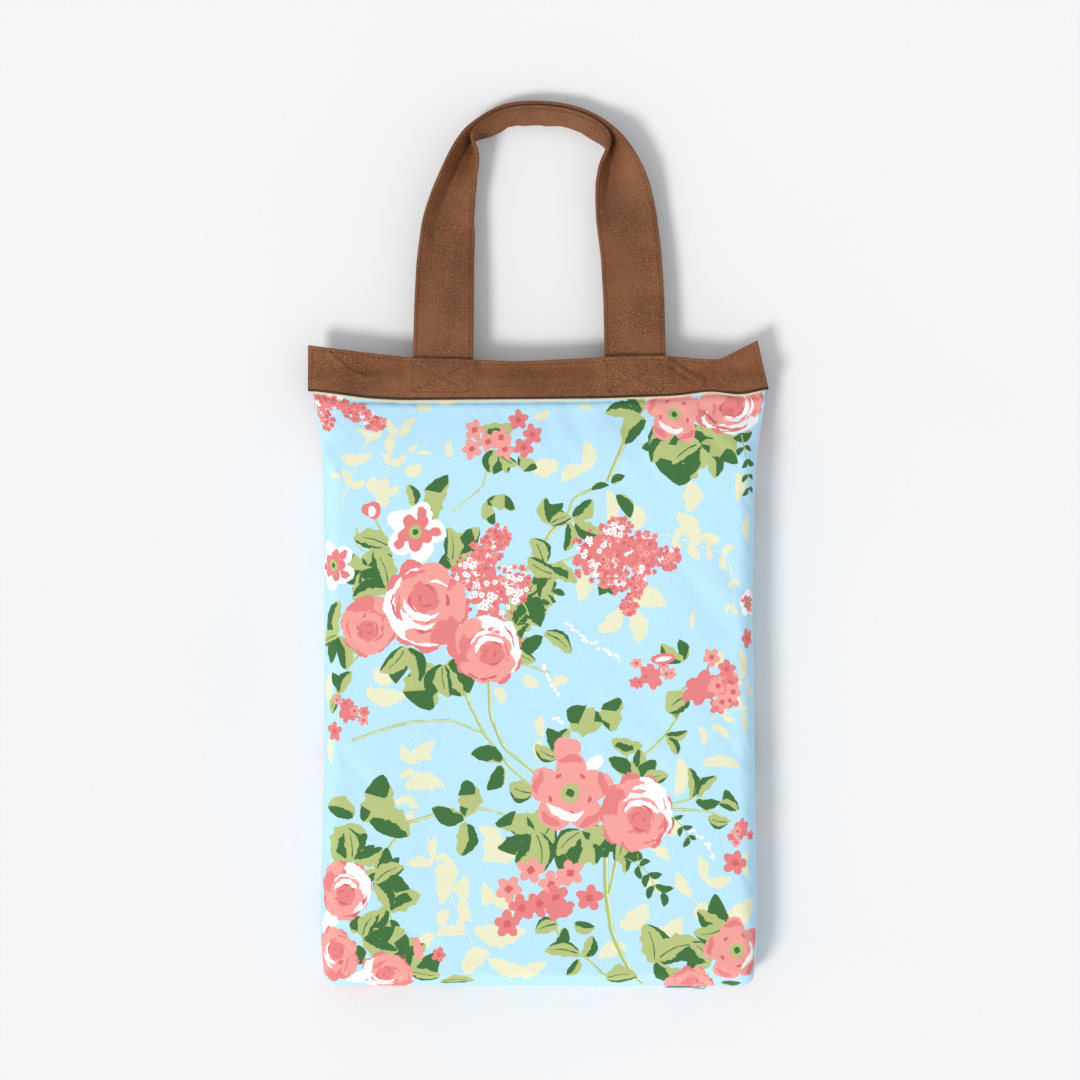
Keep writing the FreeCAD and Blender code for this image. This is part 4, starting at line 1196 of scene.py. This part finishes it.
def printed_panel(name, face, shapes, material):
    """A cover panel whose triangles follow the print's outlines, so that each has one colour."""
    edge = PANEL_HALF + SEAM_TUCK
    low_v = END_Y - END_WRAP - SEAM_TUCK
    us = panel_samples(-edge, edge, -130.0, 130.0, 3.0, 1.4)
    vs = panel_samples(low_v, MOUTH_Y, END_Y + 4, MOUTH_Y, 3.0, 1.4)
    vs = np.concatenate([vs[vs < 94.0], np.arange(94.0, MOUTH_Y, 0.8)])
    grid = np.stack(np.meshgrid(us, vs), -1).reshape(-1, 2)
    points, edges = [grid], []
    start = len(grid)
    for outline, _ in shapes:
        count = len(outline)
        points.append(np.clip(outline, (-edge, low_v), (edge, MOUTH_Y)))
        edges += [(start + k, start + (k + 1) % count) for k in range(count)]
        start += count
    flat = np.concatenate(points)
    made = delaunay_2d_cdt([Vector(p) for p in flat], edges, [], 0, 0.02)
    flat = np.array([tuple(p) for p in made[0]])
    faces = np.array(made[2])
    colours = painted(flat[faces], shapes, SKY)
    if face < 0:
        faces = faces[:, ::-1]
    piece = mesh_piece(name, cover_surface(flat[:, 0], flat[:, 1], face), faces.tolist(), material)
    layer = piece.data.color_attributes.new(name="print", type="FLOAT_COLOR", domain="CORNER")
    layer.data.foreach_set("color", np.repeat(colours, 3, axis=0).astype(np.float32).ravel())
    return piece


# ---------------------------------------------------------------- the leather band

LEATHER_HALF = 0.9
BAND_END_X = 159.4
BAND_HEIGHT = 30.0
# The band's edges and the folds in its front ply, as points in x and y.
BAND_TOP = ((-160, 138.6), (-140, 136), (-118, 133.2), (-87, 129.8), (-12, 127.2), (46, 130.2), (87, 131.2),
            (112, 129.0), (124, 128.4), (127, 129.2), (153, 142.4), (160, 143.2))
BAND_BOTTOM = ((-160, 107), (-137, 104), (-119, 101.2), (-96, 99.8), (43, 101), (98, 103), (119, 106.6),
               (140, 103), (160, 108.6))
CREASE = ((-145, 133), (-134, 123.5), (-129, 119.5), (-119, 115.4), (-112, 117.5))
RIGHT_FOLD = ((113, 112.5), (102, 119.5), (92, 126.5), (87.5, 130.5))
CORNER_FOLD = ((126.5, 130), (123, 122), (118, 113), (114, 106))
STRAP_X = 67.0
BOX_TOP_Y = 125.6
BOX_LOW_Y = 105.5
BOX_HALF = 19.2
# How far the top row of stitches lies below the band's edge, and how far apart stitches are.
ROW_IN = 2.7
BAND_PITCH = 3.7


def band_outline(x):
    """The band's lower and upper edge at each x."""
    return curve_value(BAND_BOTTOM, x, 6), curve_value(BAND_TOP, x, 2)


def strap_zone(x):
    """1 where a strap lies between the band's plies, 0 away from them."""
    return 1.0 - smooth((np.abs(np.abs(x) - STRAP_X) - 21.0) / 7.0)


def box_lines(side):
    """The stitched box and its cross over one strap end."""
    x0, x1 = side * STRAP_X - BOX_HALF, side * STRAP_X + BOX_HALF
    low, high = BOX_LOW_Y, BOX_TOP_Y
    return (
        ((x0, high), (x0, low)), ((x1, high), (x1, low)), ((x0, low), (x1, low)),
        ((x0, high), (x1, low)), ((x1, high), (x0, low)),
    )


def band_rows():
    """Every stitched line on the band as (piece name, path)."""
    xs = np.linspace(-156.5, 148.5, 120)
    top = [(x, band_outline(x)[1] - ROW_IN) for x in xs]
    rows = [("band_stitch", top), ("band_stitch", ((-156.4, 135), (-156.4, 109.5)))]
    rows.append(("band_stitch", ((149.6, 137.5), (155.6, 111))))
    for side, name in ((-1, "box_stitch_left"), (1, "box_stitch_right")):
        rows += [(name, line) for line in box_lines(side)]
    return rows


def mouth_lens(x, reach):
    """The cover's mouth is full in the middle, 1, and closes round towards its ends, 0."""
    width = half_width(np.full_like(x, 104.0), x > 0)
    return np.sqrt(np.clip(1.0 - (np.maximum(np.abs(x) - (width - 57.5), 0.0) / reach) ** 2, 0.0, 1.0))


def add_band_folds(shape, x, y):
    """Raises the front ply's height where it is folded or lies over a strap, and sinks it beside folds."""
    d, along = path_distance(x, y, CREASE)
    shape += 1.5 * np.exp(-(d / 1.3) ** 2) * np.sin(math.pi * np.clip(along, 0.02, 0.98)) ** 0.5
    shape -= 1.0 * np.exp(-((d - 3.6) / 1.9) ** 2)
    d, along = path_distance(x, y, RIGHT_FOLD)
    shape += 0.8 * np.exp(-(d / 1.6) ** 2) * np.sin(math.pi * np.clip(along, 0.05, 0.95)) ** 0.6
    shape -= 0.5 * np.exp(-((d - 3.2) / 1.8) ** 2)
    d, along = path_distance(x, y, CORNER_FOLD)
    shape += 0.9 * np.exp(-((d - 5.0) / 3.2) ** 2) - 1.0 * np.exp(-(d / 2.4) ** 2)
    shape += 0.7 * strap_zone(x) * smooth((y - BOX_LOW_Y + 6) / 8.0)


def band_middle(x, y, face):
    """Points of a band ply's middle surface over the cover's tapering mouth."""
    bottom, top = band_outline(x)
    room = half_gap(np.minimum(y, 129.0)) * mouth_lens(x, 60.0)
    closing = smooth((y - 113.0) / 14.0) * (1.0 - strap_zone(x))
    room = room * (1.0 - closing) + 0.1
    seed = 20 if face > 0 else 40
    loose = noise(x * 0.7, y, 19.0, seed) * 1.2 + noise(x, y, 8.0, seed + 1) * 0.5
    crumpled = smooth((x - 5) / 45.0) * 0.85 + 0.15
    loose += noise(x * 0.8 + y * 0.8, (y - x) * 0.35, 2.8, seed + 2) * 0.42 * crumpled
    shape = room + 0.55 * (1.0 - 0.8 * closing) + LEATHER_HALF + loose * smooth((y - bottom) / 5.0)
    shape -= 0.5 * (1.0 - smooth((y - bottom) / 4.5))
    if face > 0:
        add_band_folds(shape, x, y)
    shut = smooth((np.abs(x) - 144.0) / 11.0) * smooth((y - 116.0) / 5.0)
    shape = mix(shape, LEATHER_HALF + 0.1, shut)
    shape -= 0.25 * smooth((top - y - 3.4) / 0.8)
    over_tape = smooth((y - bottom) / 1.2) * (1.0 - smooth((y - bottom - 8.0) / 2.0))
    shape = np.maximum(shape, room + LEATHER_HALF + mix(0.15, 0.62, over_tape))
    return np.stack([x, y, MID + face * shape], -1)


def groove(x, y, rows, depth, width=0.65):
    """How far stitched lines pull a surface in, in millimetres."""
    pulled = np.zeros_like(x)
    for _, path in rows:
        d, _ = path_distance(x, y, path)
        pulled = np.maximum(pulled, np.exp(-(d / width) ** 2))
    return depth * pulled


def band_half(x, y):
    """Half thickness of a band ply: rounded rims and grooves under the stitches."""
    bottom, top = band_outline(x)
    left, right = -BAND_END_X, right_end(y)
    rim = np.minimum(np.minimum(x - left, right - x), np.minimum(y - bottom, top - y))
    half = rim_thickness(rim, LEATHER_HALF)
    inside = smooth(rim / 1.5)
    return half - groove(x, y, band_rows(), 0.3) * inside


def right_end(y):
    """The band's right end slants in towards its top."""
    return BAND_END_X - 7.0 * np.clip((y - 108.6) / 32.0, -0.2, 1.1)


def band_piece(name, face, material, edge_paint_and_shade):
    """One ply of the band. Its lower rim is dark: edge paint on the cut edge, widened into painted shade of
    the crevice under the band.
    """
    columns = rim_samples(2 * BAND_END_X, 1.0, LEATHER_HALF) - BAND_END_X
    rows = rim_samples(BAND_HEIGHT, 0.75, LEATHER_HALF) / BAND_HEIGHT
    x0, t = np.meshgrid(columns, rows)
    x = x0.copy()
    for _ in range(3):
        bottom, top = band_outline(x)
        y = mix(bottom, top, t)
        x = np.where(x0 > 100, 100 + (x0 - 100) * (right_end(y) - 100) / (BAND_END_X - 100), x0)
    half = band_half(x, y)
    half[0, :] = half[-1, :] = 0.0
    half[:, 0] = half[:, -1] = 0.0
    middle = band_middle(x, y, face)
    if face < 0:
        middle = middle[:, ::-1]
        half = half[:, ::-1]
    piece = ply(name, middle, half, material)
    piece.data.materials.append(edge_paint_and_shade)
    across = len(columns) - 1
    # The lowest rows take the dark leather: edge paint, and painted shade of the crevice under the band's
    # edge.
    edge_and_shade_rows = 5
    for start in (0, across * (len(rows) - 1)):
        for k in range(start, start + across * edge_and_shade_rows):
            piece.data.polygons[k].material_index = 1
    return piece


def stitch_places(line, at, count):
    """Values of a line's columns at count even places along it, and how they change there."""
    middles = (np.arange(count) + 0.5) * at[-1] / count
    near = 0.8

    def spot(s):
        return np.stack([np.interp(s, at, column) for column in line.T], 1)

    return spot(middles), spot(middles + near) - spot(middles - near)


def stitched(rows, material):
    """Pieces of thread from groups of centres, directions and ups, by CAD piece of thread."""
    pieces = []
    for name, groups in rows.items():
        centres, directions, ups = (np.concatenate([g[k] for g in groups]) for k in range(3))
        piece = thread("seam_" + name, centres, directions, ups, material)
        pieces.append(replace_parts(piece, name))
    return pieces


def stitch_level(x, y, face):
    """Points of a band ply's outer surface, at the bottom of the grooves under its stitches."""
    points = band_middle(x, y, face)
    points[:, 2] += face * (LEATHER_HALF - 0.3)
    return points


def band_stitches(material):
    """Stitches on both faces of the band, one piece per CAD piece of thread."""
    found = {}
    for face in (1, -1):
        for name, path in band_rows():
            path = np.array(path, float)
            at = line_lengths(path)
            spots, along = stitch_places(path, at, max(1, int(round(at[-1] / BAND_PITCH))))
            x, y = spots[:, 0], spots[:, 1]
            ahead = stitch_level(x + 0.5, y, face) - stitch_level(x - 0.5, y, face)
            aside = stitch_level(x, y + 0.5, face) - stitch_level(x, y - 0.5, face)
            up = np.cross(ahead, aside) * face
            direction = ahead * along[:, :1] + aside * along[:, 1:2]
            found.setdefault(name, []).append((stitch_level(x, y, face), direction, up))
    return stitched(found, material)


TAPE_HALF_X = 155.0
TAPE_HEIGHT = 9.0
TAPE_HALF = 0.25


def tape_piece(name, face, material):
    """The cream edge that shows below the band."""
    columns = rim_samples(2 * TAPE_HALF_X, 2.0, TAPE_HALF) - TAPE_HALF_X
    rows = rim_samples(TAPE_HEIGHT, 1.0, TAPE_HALF)
    x, t = np.meshgrid(columns, rows)
    bottom, _ = band_outline(x)
    y = bottom - 1.25 + t + noise(x, x * 0, 30.0, 60) * 0.15
    z = MID + face * (half_gap(y) * mouth_lens(x, 59.0) + 0.55)
    rim = np.minimum(np.minimum(x + TAPE_HALF_X, TAPE_HALF_X - x), np.minimum(t, TAPE_HEIGHT - t))
    middle = np.stack([x, y, z], -1)
    half = rim_thickness(rim, TAPE_HALF)
    if face < 0:
        middle, half = middle[:, ::-1], half[:, ::-1]
    return ply(name, middle, half, material)


# ---------------------------------------------------------------- the strap

# The strap's outer edge, from behind the band on the left, over the grip, to behind it on the right.
RAIL = (
    (-87.4, 102), (-86.6, 130), (-85.7, 165.1), (-84.1, 197.4), (-79.6, 227.6), (-72.6, 247.2),
    (-64.2, 265.6), (-58.8, 277.2), (-50.6, 288.3), (-38.6, 299.4), (-25.1, 307.2), (-12.1, 309),
    (1.4, 309.2), (16, 307.8), (28.1, 305.1), (41.1, 299.7), (50.8, 291.7), (58.8, 283.8), (66.6, 274),
    (72.8, 263), (77.5, 251.4), (82.1, 231.6), (85.6, 203.4), (87.5, 172.2), (88.4, 130), (88.6, 102),
)
# Where the strap tucks in on itself, left and right of the grip.
TUCKS = ((-52.6, 286.7), (57.9, 284.7))
STRAP_HALF = 1.35
STRAP_STEP = 1.4
# The fold's span runs between these; FOLD_Y is its axis, and the strap starts to hang from FOLD_START.
FOLD_START, FOLD_END = 131.0, 150.0
FOLD_Y = 137.0
HANG = math.tan(math.radians(3.5))
# Stitches on the strap: how far in from its edges, how far apart, the y that parts the rows on the legs
# from the grip's, and the y below which the band hides them.
STRAP_ROW_IN = 2.3
STRAP_PITCH = 3.8
LEG_TOP_Y = 279.0
STRAP_HIDDEN_Y = 108.0
# Up each side of the strap, at a distance past the tuck: half width, tilt of the outer part, fold of the
# inner part (both in degrees), and where across the strap the fold lies, 1 being its middle.
LEFT_FOLDS = (
    (-200, 21.1, 0, 0, 0.3), (-128, 20.6, 8, 2, 0.4), (-96, 20.2, 22, 4, 0.5), (-65, 19.8, 44, 8, 0.62),
    (-45, 19.2, 56, 16, 0.84), (-24, 18.4, 62, 42, 0.96), (-10, 18.4, 62, 60, 0.98),
    (-3, 18.5, 66, 78, 0.98), (1, 18.5, 74, 98, 1), (7, 17.8, 60, 122, 1), (15, 17.0, 38, 148, 1),
    (27, 16.4, 20, 161, 1), (45, 16.2, 18, 162, 1),
)
RIGHT_FOLDS = (
    (-200, 21.1, 0, 0, 1.62), (-60, 21.1, 3, 10, 1.62), (-36, 20.9, 18, 34, 1.5), (-20, 20.4, 28, 44, 1.25),
    (-8, 19.4, 42, 56, 1.08), (-3, 18.9, 50, 76, 1.02), (1, 18.5, 57, 98, 1), (7, 17.8, 50, 122, 1),
    (15, 17.0, 34, 148, 1), (27, 16.4, 20, 161, 1), (45, 16.2, 18, 162, 1),
)


def strap_states(rail):
    """How the strap folds along its length: the tables' four values, at each point of its rail."""
    at = line_lengths(rail)
    left, right = (at[np.argmin(np.hypot(rail[:, 0] - x, rail[:, 1] - y))] for x, y in TUCKS)
    before, after = np.array(LEFT_FOLDS, float), np.array(RIGHT_FOLDS, float)
    reach = 3
    window = np.hanning(2 * reach + 3)[1:-1] / (reach + 1)
    states = []
    for column in (1, 2, 3, 4):
        one = np.interp(at - left, before[:, 0], before[:, column])
        two = np.interp(right - at, after[:, 0], after[:, column])
        value = np.where(at < (left + right) / 2, one, two)
        states.append(np.convolve(np.pad(value, reach, mode="edge"), window, "valid"))
    return at, states


def hanging(y):
    """How far the strap has sunk below level at each y, easing into its slope across the fold line."""
    ease = FOLD_Y - FOLD_START
    t = np.clip((y - FOLD_START) / (2 * ease), 0.0, 1.0)
    return HANG * (2 * ease * (t ** 3 - t ** 4 / 2) + np.maximum(y - FOLD_Y - ease, 0.0))


def strap_section(at, half_width_mm, tilt, fold, place):
    """Each row's cross-section: distance along the cloth, distance inward and height, and its width."""
    columns = rim_samples(2.0, 0.035, 0.055)
    tilt_r, fold_r = np.radians(tilt)[:, None], np.radians(fold)[:, None]
    closed = fold_r / math.pi
    short = 2.8 * closed
    waver = (noise(at, at * 0, 15.0, 71) * 1.0 + noise(at, at * 0, 6.0, 76) * 0.35)[:, None] * closed
    width = half_width_mm[:, None] + waver
    t = columns[None, :] * width
    t = np.where(t > width, width + (t - width) * (width - short) / width, t)
    bend_half = mix(3.6, 2.3, np.clip((fold_r + tilt_r) / math.pi, 0, 1) ** 0.8)
    share = np.clip((t - width * place[:, None] + bend_half) / (2 * bend_half), 0.0, 1.0)
    heading = -tilt_r + (fold_r + tilt_r) * share
    curl = 0.05 * noise(at, at * 0, 45.0, 72)[:, None] * (1 - closed)
    heading = heading + curl * (t / width - 1.0)
    step = np.diff(t, axis=1)
    mid_heading = (heading[:, 1:] + heading[:, :-1]) / 2
    edge = np.zeros((len(at), 1))
    inward = np.concatenate([edge, np.cumsum(step * np.cos(mid_heading), 1)], 1)
    rise = np.concatenate([edge, np.cumsum(step * np.sin(mid_heading), 1)], 1)
    start = MID + 0.72 * width * place[:, None] * np.sin(tilt_r) - 1.45 * closed
    return t, inward, start + rise, 2 * width - short, closed


def strap_grid():
    """Middle surface of the strap: rows run along it, columns from its outer edge to its inner edge."""
    rail = even_path(RAIL, STRAP_STEP, 6.0)
    at, states = strap_states(rail)
    t, inward, height, total, closed = strap_section(at, *states)
    along = np.gradient(rail, axis=0)
    along /= np.linalg.norm(along, axis=1, keepdims=True)
    across = np.stack([along[:, 1], -along[:, 0]], 1)
    out = rail[:, None, :] + across[:, None, :] * inward[..., None]
    free = smooth((out[..., 1] - 135.0) / 25.0)
    sway = noise(at, at * 0, 55.0, 73)[:, None] * 0.9 + noise(out[..., 0], out[..., 1], 19.0, 74) * 0.3
    creases = noise(out[..., 0] * 0.5, out[..., 1], 6.0, 75) * (0.12 + 0.3 * closed)
    height = height + (sway + creases) * free - hanging(out[..., 1])
    return np.concatenate([out, height[..., None]], -1), t, total


def strap_half(t, total):
    """Half thickness across the strap: rounded edges and a groove under each row of stitches."""
    from_edge = np.minimum(t, total - t)
    half = rim_thickness(from_edge, STRAP_HALF)
    line = np.exp(-((from_edge - STRAP_ROW_IN) / 0.6) ** 2)
    return half - 0.5 * line


def strap_row(grid, normal, half, t, total, inner, side):
    """Places, directions and ups of one row of stitches: beside one edge of the strap, on one face."""
    spots = []
    for k in range(len(grid)):
        target = total[k, 0] - STRAP_ROW_IN if inner else STRAP_ROW_IN
        line = grid[k] + side * normal[k] * (half[k] * 2 + 0.02)[:, None]
        spots.append([np.interp(target, t[k], line[:, c]) for c in range(3)]
                     + [side * np.interp(target, t[k], normal[k, :, c]) for c in range(3)])
    spots = np.array(spots)
    at = line_lengths(spots[:, :3])
    found, change = stitch_places(spots, at, int(at[-1] / STRAP_PITCH))
    return found[:, :3], change[:, :3], found[:, 3:]


def strap_stitches(grid, normal, half, t, total, material):
    """Every row of stitches on the strap, one piece per CAD piece of thread."""
    rows = {"leg_stitch_left": [], "leg_stitch_right": [], "grip_stitch": []}
    for inner in (False, True):
        for side in (1, -1):
            row = strap_row(grid, normal, half, t, total, inner, side)
            x, y = row[0][:, 0], row[0][:, 1]
            on_legs = y < LEG_TOP_Y
            for name, chosen in zip(rows, (on_legs & (x < 0), on_legs & (x > 0), ~on_legs)):
                chosen = chosen & (y > STRAP_HIDDEN_Y)
                rows[name].append([part[chosen] for part in row])
    return stitched(rows, material)


def strap_pieces(leather, thread_colour):
    """The strap's two plies, then its stitches."""
    grid, t, total = strap_grid()
    normal = grid_normals(grid)
    if normal[len(grid) // 8, grid.shape[1] // 2, 2] < 0:
        normal = -normal
    half = strap_half(t, total) / 2
    half[0] = half[-1] = 0.0
    half[:, 0] = half[:, -1] = 0.0
    pieces = []
    for name, side, nodes in (
        ("strap_face", 1, ("handle_face", "strap_tail_left")),
        ("strap_lining", -1, ("handle_lining", "strap_tail_right")),
    ):
        middle = grid + side * normal * (half + 0.012)[..., None]
        pieces.append(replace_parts(ply(name, middle[:, ::-1], half[:, ::-1], leather), *nodes))
    return pieces + strap_stitches(grid, normal, half, t, total, thread_colour)


# ---------------------------------------------------------------- zip and foam

def zip_tape_piece(name, face, material):
    """A woven zip tape, slightly wavy, behind the cover's lip."""
    low, high = box_mm("zip_tape_upper" if face > 0 else "zip_tape_lower")
    columns = rim_samples(high[0] - low[0], 2.5, 0.25) + low[0]
    rows = rim_samples(high[2] - low[2], 1.0, 0.25) + low[2]
    x, z = np.meshgrid(columns, rows)
    y = np.full_like(x, (low[1] + high[1]) / 2) + noise(x, z, 14.0, 80) * 0.04
    y = y + 3.0 * smooth((np.abs(z - MID) - 5.5) / 8.0)
    rim = np.minimum(np.minimum(x - low[0], high[0] - x), np.minimum(z - low[2], high[2] - z))
    return ply(name, np.stack([x, y, z], -1), rim_thickness(rim, 0.22), material)


# How far the foam lies inside the cover, and where it ends.
FOAM_INSET = 2.2
FOAM_TOP = 75.5


def foam_piece(name, material):
    """The foam slab: the cover's shape a little smaller, cut square at the end under the band."""
    low_y = box_mm("foam_core")[0][1]
    us = np.linspace(-PANEL_HALF, PANEL_HALF, 90)
    vs = np.linspace(END_Y - END_WRAP, FOAM_TOP, 110)
    points, upper, lower = sewn_panels(*np.meshgrid(us, vs), FOAM_INSET)
    points[:, 1] = np.maximum(points[:, 1], low_y)
    wall = np.stack([upper[-1], lower[-1]])
    faces = np.array(grid_faces(upper) + grid_faces(lower, flip=True) + grid_faces(wall, flip=True)[1:-1])
    ends = [[upper[-1, 0], lower[-1, 1], upper[-1, 1]], [upper[-1, -2], lower[-1, -2], upper[-1, -1]]]
    used, index = np.unique(faces, return_inverse=True)
    all_faces = index.reshape(faces.shape).tolist() + np.searchsorted(used, ends).tolist()
    return mesh_piece(name, points[used], all_faces, material)


# ---------------------------------------------------------------- stage

CAMERA_X, CAMERA_Y = 1.4, 3.5
CAMERA_HEIGHT = 2000.0
VIEW_WIDTH = 748.4
SENSOR = 36.0


def make_stage():
    """A camera straight above, a sheet of white paper, one soft sun and an even sky."""
    scene = bpy.context.scene
    camera = bpy.data.objects.new("camera", bpy.data.cameras.new("camera"))
    camera.data.sensor_width = SENSOR
    camera.data.lens = SENSOR * CAMERA_HEIGHT / VIEW_WIDTH
    camera.location = (CAMERA_X * MM, CAMERA_Y * MM, (MID + CAMERA_HEIGHT) * MM)
    scene.collection.objects.link(camera)
    scene.camera = camera
    scene.view_settings.view_transform = "Standard"

    ground = mesh_piece("floor", [(-9000, -9000, 0), (9000, -9000, 0), (9000, 9000, 0), (-9000, 9000, 0)],
                        [[0, 1, 2, 3]], floor_material("floor_paper"))

    key = bpy.data.lights.new("key", "SUN")
    key.energy = 1.95
    key.angle = math.radians(17)
    key.color = (1.0, 0.985, 0.96)
    lamp = bpy.data.objects.new("key", key)
    lamp.rotation_euler = Vector((-0.66, -0.68, 0.98)).to_track_quat("Z", "Y").to_euler()
    scene.collection.objects.link(lamp)

    world = bpy.data.worlds.new("studio")
    world.use_nodes = True
    world.node_tree.nodes["Background"].inputs["Color"].default_value = (0.96, 0.98, 1.0, 1.0)
    world.node_tree.nodes["Background"].inputs["Strength"].default_value = 0.68
    scene.world = world


# ---------------------------------------------------------------- assembly

make_stage()

leather = leather_material("faux_leather")
# The strap's copy of the leather is a little darker, as painted shade.
strap_leather_shaded = leather_material("faux_leather_strap_shaded", 0.95)
# A much darker copy of the leather for the band's lower rim: edge paint, and painted shade of the crevice
# beneath it.
edge_paint_and_shade = leather_material("faux_leather_edge_and_shade", 0.45)
printed = printed_material("print_fabric")
cream_tape = tape_material("edge_tape", linear(226, 214, 176), linear(243, 234, 204))
zip_cloth = tape_material("zip_tape", linear(150, 196, 220), linear(182, 219, 238), 1200.0)
thread_colour = thread_material("thread")
metal = metal_material("zip_metal", (0.66, 0.62, 0.55, 1.0), 300.0)
teeth_metal = metal_material("zip_teeth", (0.72, 0.68, 0.58, 1.0), 800.0)
foam = foam_material("foam")

front_print = floral(11)
back_print = [(outline * (-1, -1) + (0, -207), colour) for outline, colour in front_print]
front_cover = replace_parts(printed_panel("front_cover", 1, front_print, printed), "front_panel")
back_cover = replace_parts(printed_panel("back_cover", -1, back_print, printed), "back_panel")
foam_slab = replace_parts(foam_piece("foam_slab", foam), "foam_core")
band_pieces = [
    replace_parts(band_piece("band_front_ply", 1, leather, edge_paint_and_shade), "band_front"),
    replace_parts(band_piece("band_back_ply", -1, leather, edge_paint_and_shade), "band_back"),
]
tape_pieces = [
    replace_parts(tape_piece("edge_tape_front_strip", 1, cream_tape), "edge_tape_front"),
    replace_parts(tape_piece("edge_tape_back_strip", -1, cream_tape), "edge_tape_back"),
]
zip_tapes = [
    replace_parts(zip_tape_piece("zip_tape_upper_strip", 1, zip_cloth), "zip_tape_upper"),
    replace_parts(zip_tape_piece("zip_tape_lower_strip", -1, zip_cloth), "zip_tape_lower"),
]
band_threads = band_stitches(thread_colour)
strap = strap_pieces(strap_leather_shaded, thread_colour)

for node, material in (
    ("zip_teeth_upper", teeth_metal), ("zip_teeth_lower", teeth_metal), ("zip_top_stops", metal),
    ("zip_bottom_stop", metal), ("zip_slider", metal), ("zip_pull", metal),
):
    NODES[node].data.materials.clear()
    NODES[node].data.materials.append(material)

for piece in [front_cover, back_cover, foam_slab, *band_pieces, *tape_pieces, *zip_tapes, *band_threads]:
    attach(piece, "pad")
for piece in strap:
    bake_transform(piece)

for piece, slot in (
    (front_cover, "print_fabric"), (back_cover, "print_fabric"), (foam_slab, "foam"),
    *((p, "faux_leather") for p in band_pieces), *((p, "edge_tape") for p in tape_pieces),
    *((p, "zip_tape") for p in zip_tapes), *((p, "thread") for p in band_threads),
    *((p, "faux_leather") for p in strap[:2]), *((p, "thread") for p in strap[2:]),
):
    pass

for piece in strap[:2]:
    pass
